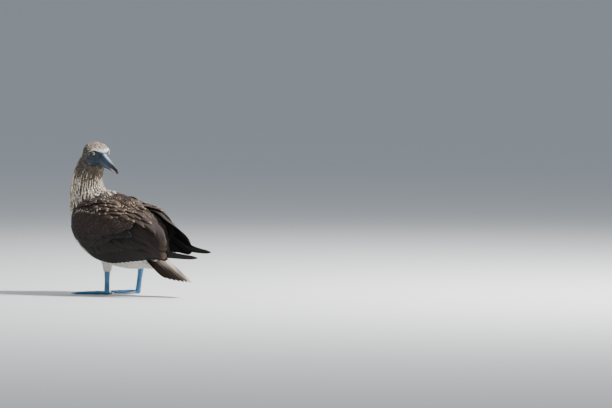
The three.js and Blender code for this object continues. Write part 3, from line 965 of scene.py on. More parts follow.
def blend(first: Array, second: Array, share: Array) -> Array:
    """Mix colours by a share for each point."""
    return first + (second - first) * share[:, None]


# The border of the bare face, as [forward, up] in the head's frame.
FACE = Outline((
    (60, 16), (30, 15), (18, 15), (12, 12.5), (9, 8), (8, 1), (8, -6), (0, -13), (2, -18), (11, -21),
    (22, -23), (60, -36),
))
# How much of the coat is streaked, by the share of the spine's length.
STREAKED = Stations(((0, 0.68), (0.1, 0.7), (0.2, 0.62), (0.3, 0.54), (0.42, 0.52), (0.52, 0.5), (0.6, 0)))


@dataclass
class Spine:
    """The line from the bill's root over head, neck and body to the rump, which the coat follows."""

    softness: float = 13.0
    line: Line = Line((
        (-12.8, -26.7, 318.2), (-49.5, -11.9, 332.1), (-70, -6, 318), (-84, -6, 302), (-97, -4, 274),
        (-101, -1, 246), (-92, 0, 206), (-66, 0, 176), (-30, 0, 162), (50, 0, 144), (120, 0, 118),
        (162, 0, 93),
    ))
    count: int = 180

    def __post_init__(self) -> None:
        """Sample the line, its directions and its frames once."""
        self.share = np.linspace(0, 1, self.count)
        self.points = self.line.at(self.share)
        self.heading = self.line.heading(self.share)
        across = np.array([0.0, 1.0, 0.0])
        self.side = unit(across - (self.heading @ across)[:, None] * self.heading)
        self.over = np.cross(self.side, self.heading)
        self.length = float(np.linalg.norm(np.diff(self.points, axis=0), axis=1).sum())

    def nearest(self, places: Array) -> tuple[Array, Array]:
        """Find the sample of the spine nearest to each place.

        Args:
            places: Points in the bird's frame.

        Returns:
            The samples' numbers, and the smoothed direction of the coat there.
        """
        gaps = ((places[:, None, :] - self.points[None]) ** 2).sum(axis=2)
        found = gaps.argmin(axis=1)
        weight = np.exp(-(gaps - gaps.min(axis=1, keepdims=True)) / (2 * self.softness**2 * 8))
        flow = unit(weight @ self.heading)
        return found, flow

    def coordinates(self, places: Array) -> tuple[Array, Array, Array]:
        """Find where places lie along and round the spine.

        Args:
            places: Points in the bird's frame.

        Returns:
            The share of the spine's length, the place in its local frame in millimetres, and the coat's
            direction.
        """
        shares, frames, flows = [], [], []
        for start in range(0, len(places), PLACES_AT_ONCE):
            part = places[start : start + PLACES_AT_ONCE]
            k, flow = self.nearest(part)
            arm = part - self.points[k]
            local = [self.share[k] * self.length, (arm * self.side[k]).sum(1), (arm * self.over[k]).sum(1)]
            shares.append(self.share[k])
            frames.append(np.stack(local, axis=1))
            flows.append(flow)
        return np.concatenate(shares), np.concatenate(frames), np.concatenate(flows)


SPINE = Spine()


def thigh_share(points: Array) -> Array:
    """Find how much points belong to a thigh, from 0 on the body to 1 below it."""
    return smooth(104, 84, points[:, 2]) * (np.abs(points[:, 0] - 15) < 40)


def above_ankle(points: Array) -> Array:
    """Find how far points lie above the ankle on their side of the body."""
    return points[:, 2] - np.where(points[:, 1] < 0, FEET[Side.LEFT].shank, FEET[Side.RIGHT].shank)


class Markings:
    """The colours of skin and coat by place, shared by both."""

    @staticmethod
    def bare(points: Array) -> Array:
        """Find how much points belong to the bare face, from 0 to 1."""
        local = FRAME.to_head(points)
        depth = FACE.depth(local[:, [0, 2]])
        near = np.linalg.norm(local, axis=1) < 80
        return smooth(-0.8, 0.8, depth) * near * (local[:, 0] > -6)

    @staticmethod
    def colours(points: Array) -> tuple[Array, Array, Array]:
        """Colour places on the body.

        Args:
            points: Places in the bird's frame.

        Returns:
            The colour, the colour of the feather's tip, and how much of the tip shows, for each place.
        """
        share, local, _ = SPINE.coordinates(points)
        head = FRAME.to_head(points)
        forward, _, up = head.T
        x, y, z = points.T
        on_head = share < 0.2
        above_face = smooth(6, 1.0, -FACE.depth(head[:, [0, 2]])) * smooth(8, 13, up)
        above_face = above_face * smooth(2, 12, forward) * on_head
        patch = smooth(38, 20, np.hypot(x + 46, 1.15 * y)) * smooth(212, 232, z) * smooth(0.4, 0.46, share)
        cheek = smooth(14, -2, forward) * smooth(16, 4, up) * smooth(-44, -20, up) * (share < 0.33)
        chin = smooth(-16, -23, up) * smooth(-52, -36, up) * smooth(-30, -6, forward) * (share < 0.33)
        band = smooth(-30, -42, up) * smooth(-74, -50, up) * (share < 0.42)

        fine = 1.2 + 0.6 * smooth(0.12, 0.34, share)[:, None]
        drift = noise(local / np.array([24.0, 10.0, 10.0]), 6)
        turn = np.arctan2(local[:, 2], local[:, 1])
        lines = 0.5 + 0.5 * np.cos(40 * turn + 7 * drift)
        combed = 0.38 * smooth(0.53, 0.43, share)
        dashes = (0.88 - combed) * noise(local / (np.array([7.5, 1.0, 1.0]) * fine), 1) + combed * lines
        dashes += 0.12 * noise(local / np.array([7.0, 4.0, 4.0]), 2)
        broad = noise(local / np.array([38.0, 12.0, 12.0]), 4)
        speck = noise(local / np.array([7.0, 5.0, 5.0]), 3)
        cover = STREAKED.one(share) * np.where(share > 0.36, smooth(120, 185, z), 1.0)
        cover = cover + 0.34 * cheek + 0.22 * chin + 0.2 * band - 0.6 * above_face - 0.6 * patch
        cover = np.clip(cover + 0.06 * (broad - 0.5), 0, 1)
        limit = 0.5 + 0.55 * (0.5 - cover)
        streak = smooth(-0.055, 0.055, dashes - limit) * (cover > 0.02)

        cream = blend(Tone.CREAM.rgb(), Tone.WHITE.rgb(), smooth(0.42, 0.5, share))
        cream = blend(cream, Tone.WHITE.rgb(), np.maximum(above_face, patch))
        cream = blend(cream, Tone.THROAT.rgb() * 1.7, 0.7 * np.maximum(cheek, chin))
        dark = blend(Tone.STREAK.rgb(), Tone.WARM.rgb(), smooth(0.4, 0.75, speck) * 0.7)
        top = smooth(8, 20, up) * on_head * smooth(30, 10, forward)
        dark = blend(dark, Tone.CROWN.rgb(), top * (0.25 + 0.75 * smooth(0.3, 0.6, speck)))
        dark = blend(dark, Tone.CHEEK.rgb(), np.clip(cheek + chin, 0, 1))
        colour = blend(cream, dark, 0.97 * streak)

        border = x + 27 + 1.0 * np.abs(y) + 34 * (dashes - 0.5) + 22 * (broad - 0.5)
        dorsal = smooth(-8, 16, border) * (share > 0.4)
        roof = dorsal * smooth(150, 178, z + 0.32 * x + 0.0022 * np.maximum(x, 0) ** 2 + 12 * (broad - 0.5))
        roof = roof * (1 - patch)
        brown = Tone.MANTLE.rgb() * (0.5 + 0.7 * speck[:, None])
        colour = blend(colour, brown, roof)
        # Painted shade: below 135 mm the body's colours are darkened by up to a fifth.
        colour = colour * (1 - 0.2 * smooth(135, 105, z) * (share > 0.5))[:, None]
        rump = roof * smooth(80, 110, x) * smooth(150, 125, x) * smooth(0.4, 0.6, dashes)
        colour = blend(colour, Tone.RUMP.rgb(), 0.3 * rump)

        tip = blend(Tone.TIP.rgb(), Tone.WHITE.rgb(), smooth(20, -50, x))
        flecks = smooth(0.42, 0.62, noise(local / np.array([16.0, 7.0, 7.0]), 5))
        shown = roof * (0.1 + 0.8 * flecks) * smooth(150, 60, x)
        shown = np.maximum(shown, 0.3 * streak * (1 - roof))
        tip = blend(tip, Tone.CREAM.rgb(), (1 - roof) * 0.9)
        return colour, tip, np.clip(shown, 0, 1)


@dataclass(frozen=True)
class FeatherCut:
    """The pattern that every feather of one kind is cut from.

    The outline holds the half breadth along the feather, as a share of the widest.
    """

    outline: Stations
    rows: int
    columns: int = 0
    thickness: float = 0.12

    def pattern(self) -> tuple[Array, Array]:
        """Build the pattern.

        Returns:
            Its vertices as (along, across, height) shares, and its faces as rows of vertex numbers.
        """
        return self.blade() if self.columns else self.spindle()

    def shares(self) -> Array:
        """Give the pattern's vertices as three rows: along, across and height."""
        return self.pattern()[0].T

    def spindle(self) -> tuple[Array, Array]:
        """Build a small feather: a flat spindle of four sides, with a ridge for its shaft."""
        shape = bmesh.new()
        bmesh.ops.create_uvsphere(shape, u_segments=4, v_segments=self.rows, radius=1)
        bmesh.ops.triangulate(shape, faces=shape.faces)
        mesh = mesh_of(shape, "pattern")
        ball = mesh_points(mesh)
        along = np.arccos(np.clip(-ball[:, 2], -1, 1)) / np.pi
        broad = self.outline.one(along)
        ends = np.abs(ball[:, 2]) > 1 - 1e-5
        broad[ends] = 0
        across = np.where(np.abs(ball[:, 0]) > 1e-4, np.sign(ball[:, 0]), 0) * broad
        height = np.where(np.abs(ball[:, 1]) > 1e-4, np.sign(ball[:, 1]), 0) * self.thickness * (broad > 0)
        faces = np.array([tuple(face.vertices) for face in mesh.polygons])
        bpy.data.meshes.remove(mesh)
        return np.stack([along, across, height], axis=1), faces

    def blade(self) -> tuple[Array, Array]:
        """Build a large feather: a thin closed blade with a raised shaft."""
        shape = bmesh.new()
        bmesh.ops.create_grid(shape, x_segments=self.columns, y_segments=self.rows, size=1)
        for vert in shape.verts:
            vert.co.z = 0.6 * max(0.0, 1 - abs(vert.co.x) * self.columns / 1.5)
        bmesh.ops.solidify(shape, geom=shape.faces[:], thickness=0.5)
        bmesh.ops.triangulate(shape, faces=shape.faces)
        bmesh.ops.recalc_face_normals(shape, faces=shape.faces)
        mesh = mesh_of(shape, "pattern")
        flat = mesh_points(mesh)
        along = (flat[:, 1] + 1) / 2
        across = flat[:, 0] * self.outline.one(along)
        faces = np.array([tuple(face.vertices) for face in mesh.polygons])
        bpy.data.meshes.remove(mesh)
        return np.stack([along, across, flat[:, 2] * self.thickness], axis=1), faces


@dataclass
class Coat:
    """Feathers of one pattern, joined into one mesh."""

    name: str
    cut: FeatherCut
    places: list[Array] = field(default_factory=list)
    colours: list[Array] = field(default_factory=list)
    trims: list[Array] = field(default_factory=list)
    roots: list[Array] = field(default_factory=list)
    patch: float = 0.003

    def lay(self, vertices: Array, colours: Array, trims: Array, roots: Array) -> None:
        """Add feathers.

        Args:
            vertices: Feathers x pattern vertices x 3, in the bird's frame.
            colours: One colour for each feather.
            trims: The tip's colour and how much of it shows, for each feather.
            roots: Where each feather's patch lies on the unwrapped skin.
        """
        self.places.append(vertices)
        self.colours.append(colours)
        self.trims.append(trims)
        self.roots.append(roots)

    def add(self, vertices: Array, tone: Array, trim: Array, shown: float, spot: Pair) -> None:
        """Add one feather.

        Args:
            vertices: Its vertices, in the bird's frame.
            tone: Its colour.
            trim: Its tip's colour.
            shown: How much of the tip's colour shows.
            spot: Where its patch lies on the unwrapped skin.
        """
        self.lay(vertices[None], tone[None], np.append(trim, shown)[None], np.array([spot]))

    @staticmethod
    def cell(number: int) -> Pair:
        """Find the middle of one of ten by ten cells of the unwrapped skin."""
        return 0.05 + 0.1 * (number % 10), 0.05 + 0.1 * (number // 10)

    def mesh(self) -> Mesh:
        """Join the feathers into one mesh with its colours and maps."""
        pattern, faces = self.cut.pattern()
        points = np.concatenate(self.places)
        count, size = points.shape[:2]
        corners = (faces[None] + size * np.arange(count)[:, None, None]).reshape(-1)
        mesh = bpy.data.meshes.new(self.name)
        mesh.vertices.add(count * size)
        mesh.loops.add(len(corners))
        mesh.polygons.add(len(corners) // 3)
        mesh.vertices.foreach_set("co", FRAME.world(points.reshape(-1, 3)).astype(np.float32).ravel())
        mesh.loops.foreach_set("vertex_index", corners.astype(np.int32))
        mesh.polygons.foreach_set("loop_start", np.arange(0, len(corners), 3, dtype=np.int32))
        mesh.update(calc_edges=True)
        paint(mesh, "Plumage", np.repeat(np.concatenate(self.colours), size, axis=0))
        paint(mesh, "Trim", np.repeat(np.concatenate(self.trims), size, axis=0))
        shares = np.stack([0.5 + pattern[:, 1] / 2, pattern[:, 0]], axis=1)
        vane = np.tile(shares, (count, 1))
        self.unwrap(mesh, "Vane", vane[corners])
        spots = np.repeat(np.concatenate(self.roots), size, axis=0) + (vane - 0.5) * self.patch
        self.unwrap(mesh, "OFBake", spots[corners])
        return mesh

    @staticmethod
    def unwrap(mesh: Mesh, name: str, shares: Array) -> None:
        """Give a mesh a UV map."""
        layer = mesh.uv_layers.new(name=name)
        layer.data.foreach_set("uv", shares.astype(np.float32).ravel())


# How roots are spread: many places are drawn, and one is kept in each cell.
DRAWS_PER_ROOT = 5
CELL_SHARE = 1.12
KEY_STEP = 100003
# Where feathers stop: how deep under a wing, how far above the ankle, and how bare the face is.
WING_MARGIN = 14
ANKLE_MARGIN = 4
BARE_LIMIT = 0.3
BODY_CUT = FeatherCut(Stations(((0, 0.2), (0.33, 0.95), (0.66, 1.0), (1, 0))), rows=3, thickness=0.16)
BROAD_VANE = Stations(((0, 0.2), (0.25, 0.8), (0.5, 1.0), (0.75, 0.95), (1, 0)))
BROAD_CUT = FeatherCut(BROAD_VANE, rows=5, thickness=0.1)


class BodySkin:
    """The skin of head, neck, body and thighs: one surface inside the coat."""

    def __init__(self, depth: float = 1.9, head_depth: float = 1.0, voxel: float = 1.7) -> None:
        """Build the skin and what the coat reads from it.

        Args:
            depth: How deep the skin lies inside the body's outline.
            head_depth: The same on the head, where feathers are short.
            voxel: How fine the skin is.
        """
        self.mesh = self.form(depth, head_depth, voxel)
        self.carve()
        self.read()

    @staticmethod
    def form(depth: float, head_depth: float, voxel: float) -> Mesh:
        """Fuse the body's forms into one mesh."""
        on_body = {"end_power": 6, "fullness": 0.86, "swell": 0.6 - depth}
        on_head = {"across": HEAD_LEFT, "end_power": 5, "in_head": True, "swell": -head_depth}
        parts = {
            "torso": Sweep(TORSO_LINE, TORSO_SECTIONS, 40, 48, **on_body),
            "neck": Sweep(NECK_LINE, NECK_SECTIONS, 40, 48, end_power=8, swell=0.9 - depth),
            "head": Sweep(HEAD_LINE, HEAD_SECTIONS, 40, 48, **on_head),
            "vent": Sweep(VENT_LINE, VENT_SECTIONS, 30, 36, end_power=6, swell=-depth),
            "nape": Sweep(NAPE_LINE, NAPE_SECTIONS, 30, 36, end_power=5, swell=-head_depth),
        }
        for side, foot in FEET.items():
            line = Line((tuple(foot.hip()), tuple(foot.ankle() - 2.0 * UP)))
            parts[f"thigh_{side.label}"] = Sweep(line, THIGH_SECTIONS, 24, 24, even=True, swell=-1.2)
        return fused([part.mesh(f"{name}_form") for name, part in parts.items()], "skin", voxel, 16)

    @staticmethod
    def lips(local: Array) -> Array:
        """Find how much points of the head belong to the line of the mouth behind the bill."""
        x, y, z = local.T
        gap = (z + 6.0 + 0.0035 * (x - 30) ** 2) / 1.1
        return np.exp(-(gap**2)) * smooth(1, 8, x) * smooth(60, 50, x) * smooth(2, 4, np.abs(y))

    @staticmethod
    def hollow(local: Array, middle: Pair, size: Pair) -> Array:
        """Find how much points of the head belong to a hollow of this middle and size, forward and up."""
        forward, up = ((local[:, axis] - middle[i]) / size[i] for i, axis in enumerate((0, 2)))
        return np.exp(-(forward**2) - up**2)

    def carve(self) -> None:
        """Carve the line of the mouth, the brow and the hollow before the eye into the face."""
        points = FRAME.bird(mesh_points(self.mesh))
        local = FRAME.to_head(points)
        x, y, z = local.T
        near = (x > -8) & (x < 60) & (np.abs(z) < 40)
        lip = self.lips(local)
        lore = self.hollow(local, (29, 3), (8, 6))
        brow = bell(z, 14, 2.6) * smooth(4, 12, x) * smooth(44, 30, x)
        socket = self.hollow(local, (15.5, 7), (7.5, 7)) * smooth(6, 12, np.abs(y))
        push = near * (1.1 * brow - 1.3 * lip - 1.4 * lore - 2.3 * socket)
        outward_way = np.stack([np.zeros_like(x), np.sign(y), np.zeros_like(x)], axis=1)
        set_points(self.mesh, FRAME.world(FRAME.from_head(local + outward_way * push[:, None])))

    def read(self) -> None:
        """Colour the skin and keep its triangles and its nearest-point tree."""
        points = FRAME.bird(mesh_points(self.mesh))
        colour, _, _ = Markings.colours(points)
        # Painted shade: the skin takes the coat's colours at 0.8, darker where it shows between the
        # feathers.
        paint(self.mesh, "Plumage", colour * 0.8)
        paint(self.mesh, "Bare", Markings.bare(points))
        local = FRAME.to_head(points)
        # Painted shade: how dark the skin is painted along the line of the mouth and in the hollow round the
        # eye.
        orbit = self.hollow(local, (16, 6), (9, 8))
        paint(self.mesh, "Crease", np.maximum(self.lips(local), 0.75 * orbit))
        self.mesh.calc_loop_triangles()
        triangles = np.empty(len(self.mesh.loop_triangles) * 3, np.int32)
        self.mesh.loop_triangles.foreach_get("vertices", triangles)
        self.corners = points[triangles.reshape(-1, 3)]
        self.tree = BVHTree.FromPolygons(
            [tuple(p) for p in points], [tuple(face.vertices) for face in self.mesh.polygons]
        )

    def scatter(self, spacing: float, wanted: Callable[[Array], Array], seed: int) -> tuple[Array, Array]:
        """Spread roots evenly over part of the skin.

        Args:
            spacing: The distance between them.
            wanted: Tells which places belong to the part.
            seed: Fixes the random draw.

        Returns:
            The roots and the skin's outward directions there.
        """
        draw = np.random.default_rng(seed)
        a, b, c = np.moveaxis(self.corners, 1, 0)
        kept = wanted((a + b + c) / 3)
        a, b, c = a[kept], b[kept], c[kept]
        cross = np.cross(b - a, c - a)
        area = np.linalg.norm(cross, axis=1) / 2
        count = int(DRAWS_PER_ROOT * area.sum() / spacing**2)
        chosen = draw.choice(len(area), count, p=area / area.sum())
        first, second = draw.random((2, count, 1))
        folded = first + second > 1
        first, second = np.where(folded, 1 - first, first), np.where(folded, 1 - second, second)
        points = a[chosen] + first * (b - a)[chosen] + second * (c - a)[chosen]
        cells = np.floor(points / (spacing * CELL_SHARE)).astype(np.int64)
        keys = (cells[:, 0] * KEY_STEP + cells[:, 1]) * KEY_STEP + cells[:, 2]
        _, picked = np.unique(keys, return_index=True)
        return points[picked], unit(cross[chosen][picked])

    def follow(self, points: Array) -> tuple[Array, Array]:
        """Bring points onto the skin.

        Args:
            points: Places near the skin.

        Returns:
            The nearest places on it, and its outward directions there.
        """
        found = [self.tree.find_nearest(Vector(p)) for p in points]
        return np.array([hit[0] for hit in found]), np.array([hit[1] for hit in found])

    def show(self, material: Material) -> None:
        """Place the skin as a piece."""
        nodes = ("torso", "neck", "head", "face", "thigh_left", "thigh_right")
        place(self.mesh, material, "white_plumage", *nodes)


@dataclass(frozen=True)
class Patch:
    """A part of the body's coat, with feathers of one size."""

    name: str
    start: float
    end: float
    spacing: float
    length: float
    half_width: float
    lift: float
    seed: int
    on_thigh: bool = False

    def wanted(self, points: Array) -> Array:
        """Tell which places on the skin grow this part's feathers."""
        share, _, _ = SPINE.coordinates(points)
        thigh = thigh_share(points) > 0.5
        hidden = np.zeros(len(points), bool)
        for wing in WINGS.values():
            hidden |= wing.covers(points, WING_MARGIN)
        bare = Markings.bare(points) > BARE_LIMIT
        shown = ~hidden & ~bare & (above_ankle(points) > ANKLE_MARGIN)
        if self.on_thigh:
            return shown & thigh
        return shown & ~thigh & (share >= self.start) & (share < self.end)

    def grow(self, skin: BodySkin, cut: FeatherCut) -> Coat:
        """Grow the feathers of this part.

        Args:
            skin: What they grow on.
            cut: The pattern that they are cut from.

        Returns:
            The feathers, laid along the body.
        """
        draw = np.random.default_rng(self.seed)
        roots, normals = skin.scatter(self.spacing, self.wanted, self.seed)
        share, local, flow = SPINE.coordinates(roots)
        if self.on_thigh:
            flow = np.tile(np.array([[0.05, 0.0, -1.0]]), (len(roots), 1))
        flow = flow + draw.normal(0, 0.13, flow.shape)
        flow = unit(flow - (flow * normals).sum(1, keepdims=True) * normals)
        length = self.length * draw.uniform(0.8, 1.15, (len(roots), 1))
        if self.on_thigh:
            length = length * (0.35 + 0.65 * smooth(3, 24, above_ankle(roots)))[:, None]
        half, half_out = skin.follow(roots + flow * length * 0.5)
        tip, tip_out = skin.follow(roots + flow * length)
        lift = self.lift * draw.uniform(0.55, 1.2, (len(roots), 1))
        spine = [roots - normals * 0.5, half + half_out * lift * 0.7, tip + tip_out * lift]
        outs = unit(normals + half_out)
        along, across, height = (part[None, :, None] for part in cut.shares())
        start, middle, end = (spot[:, None, :] for spot in spine)
        bend = 2 * middle - (start + end) / 2
        path = (1 - along) ** 2 * start + 2 * along * (1 - along) * bend + along**2 * end
        sideways = unit(np.cross(outs, flow))[:, None, :]
        width = (self.half_width * draw.uniform(0.8, 1.2, (len(roots), 1)))[:, :, None]
        raised = outs[:, None, :] * height * width
        curl = outs[:, None, :] * (-0.18 * np.abs(across)) * width
        vertices = path + sideways * across * width + raised + curl
        colour, trim, amount = Markings.colours(tip * 0.5 + roots * 0.5)
        colour = colour * draw.uniform(0.86, 1.12, (len(roots), 1))
        angle = np.arctan2(local[:, 2], local[:, 1]) / (2 * np.pi) + 0.5
        coat = Coat(self.name, cut)
        spots = np.stack([0.01 + 0.98 * angle, 0.01 + 0.98 * share], axis=1)
        coat.lay(vertices, colour, np.column_stack([trim, amount]), spots)
        return coat


PATCHES = (
    Patch("coat_head", 0.0, 0.17, 1.25, 5.5, 0.85, 1.0, 11),
    Patch("coat_nape", 0.17, 0.28, 1.5, 8.0, 0.95, 1.2, 12),
    Patch("coat_neck", 0.28, 0.41, 1.75, 11.0, 1.15, 1.4, 13),
    Patch("coat_breast", 0.41, 0.56, 2.3, 14.0, 1.75, 1.8, 14),
    Patch("coat_body", 0.56, 0.8, 3.1, 16.0, 2.7, 2.0, 15),
    Patch("coat_rump", 0.8, 1.01, 3.1, 17.0, 2.8, 2.0, 16),
    Patch("coat_thighs", 0.0, 1.0, 2.1, 9.0, 1.7, 1.5, 17, True),
)


@dataclass(frozen=True)
class Tier:
    """One layer of a folded wing's feathers, from its lowest or rearmost to its highest or foremost.

    Each end is [x, share of the wing's breadth, rise beyond it]; the lifts are at root and tip of the first
    and of the last feather.
    """

    name: str
    count: int
    roots: Rows
    tips: Rows
    half_widths: Pair
    sunk: Pair
    lift: Pair
    tone: Tone
    trim: float
    jitter: float = 0.0


WING_TIERS = (
    Tier(
        "primaries", 9, ((60, 0.42, 0), (96, 0.7, 0)), ((287, 0.5, 0), (186, 0.88, 0)), (7.5, 8), (-5, -4),
        (-3.4, 1), Tone.FLIGHT, 0.0,
    ),
    Tier(
        "secondaries", 17, ((88, 0.5, 0), (-70, 0.2, 0)), ((206, 0.22, -2), (-6, 0.05, -7)), (10, 9),
        (-5, -5), (1.4, 2), Tone.FLIGHT, 0.03,
    ),
    Tier(
        "tertials", 8, ((84, 0.6, 0), (70, 1, 30)), ((206, 0.36, 0), (199, 1, 8)), (12, 13), (-4, -5),
        (2.2, 1.4), Tone.COVERT, 0.45, 1,
    ),
    Tier(
        "greater", 18, ((70, 0.6, 0), (-82, 0.22, 0)), ((150, 0.42, 0), (-34, 0.1, 0)), (9, 7), (-3, -3),
        (3.0, 3.2), Tone.FLIGHT, 0.03, 1,
    ),
    Tier(
        "median", 20, ((52, 0.72, 0), (-86, 0.34, 0)), ((112, 0.6, 0), (-48, 0.22, 0)), (8, 6), (-2, -2),
        (3.6, 3.6), Tone.FLIGHT, 0.04, 1,
    ),
)
SCAPULAR_TIERS = (
    Tier(
        "scapular_long", 13, ((84, 1, 12), (-20, 0.96, 0)), ((168, 1, 5), (44, 0.88, -4)), (7.5, 6.5),
        (-4, -3), (3.4, 3.8), Tone.MANTLE, 0.8, 4,
    ),
    Tier(
        "scapular_next", 15, ((74, 1, 20), (-38, 1, -3)), ((146, 1, 13), (16, 0.95, -4)), (7.5, 6.2),
        (-4, -3), (3.9, 4.2), Tone.MANTLE, 1.0, 4,
    ),
    Tier(
        "scapular_mid", 16, ((62, 1, 28), (-54, 1, 2)), ((124, 1, 22), (-6, 1, -2)), (7, 5.8), (-4, -3),
        (4.4, 4.5), Tone.MANTLE, 1.0, 4,
    ),
    Tier(
        "scapular_short", 17, ((48, 1, 36), (-70, 1, 4)), ((100, 1, 32), (-26, 1, 2)), (6.6, 5.2), (-3, -3),
        (4.7, 4.7), Tone.MANTLE, 1.0, 4,
    ),
    Tier(
        "scapular_first", 18, ((34, 1, 44), (-82, 1, 6)), ((80, 1, 42), (-46, 1, 6)), (6.2, 4.8), (-3, -3),
        (5, 5), Tone.MANTLE, 0.9, 4,
    ),
    Tier(
        "mantle_side", 17, ((50, 1, 54), (-68, 1, 18)), ((96, 1, 52), (-28, 1, 18)), (6.6, 5), (-4, -4),
        (4.2, 4.6), Tone.MANTLE, 0.9, 4,
    ),
)
FLIGHT_VANE = Stations(((0, 0.35), (0.2, 0.85), (0.7, 1), (0.88, 0.86), (0.96, 0.58), (1, 0.2)))
FLIGHT_CUT = FeatherCut(FLIGHT_VANE, rows=16, columns=6, thickness=0.35)
COVERT_VANE = Stations(((0, 0.5), (0.3, 0.9), (0.65, 1), (0.85, 0.86), (0.95, 0.58), (1, 0.2)))
COVERT_CUT = FeatherCut(COVERT_VANE, rows=9, columns=4, thickness=0.35)
SCAPULAR_VANE = Stations(((0, 0.5), (0.3, 0.95), (0.6, 1), (0.8, 0.8), (0.93, 0.42), (1, 0.08)))
SCAPULAR_CUT = FeatherCut(SCAPULAR_VANE, rows=9, columns=4, thickness=0.35)
SMALL_VANE = Stations(((0, 0.5), (0.3, 0.9), (0.62, 1), (0.84, 0.8), (0.95, 0.5), (1, 0.2)))
SMALL_CUT = FeatherCut(SMALL_VANE, rows=6, columns=2, thickness=0.3)
TAIL_VANE = Stations(((0, 0.4), (0.3, 0.92), (0.6, 1), (0.82, 0.8), (0.94, 0.45), (1, 0.08)))
TAIL_CUT = FeatherCut(TAIL_VANE, rows=18, columns=6, thickness=0.35)
# How much the tone varies from feather to feather, in loose and in firm tiers.
LOOSE_SPREAD = 0.28
FIRM_SPREAD = 0.07
TRIM_SHARE = 0.85
FEATHER_TILT = 1.6
# Where the small coverts begin above the wing's lower edge, as a share of its breadth.
COVERT_FLOOR = Stations(((-100, 0.04), (-60, 0.14), (-10, 0.34), (40, 0.56), (84, 0.78)))


@dataclass(frozen=True)
class Looks:
    """The materials of skin and feathers."""

    skin: Material
    flight: Material
    tail: Material
    scapular: Material
    covert: Material
    body: Material


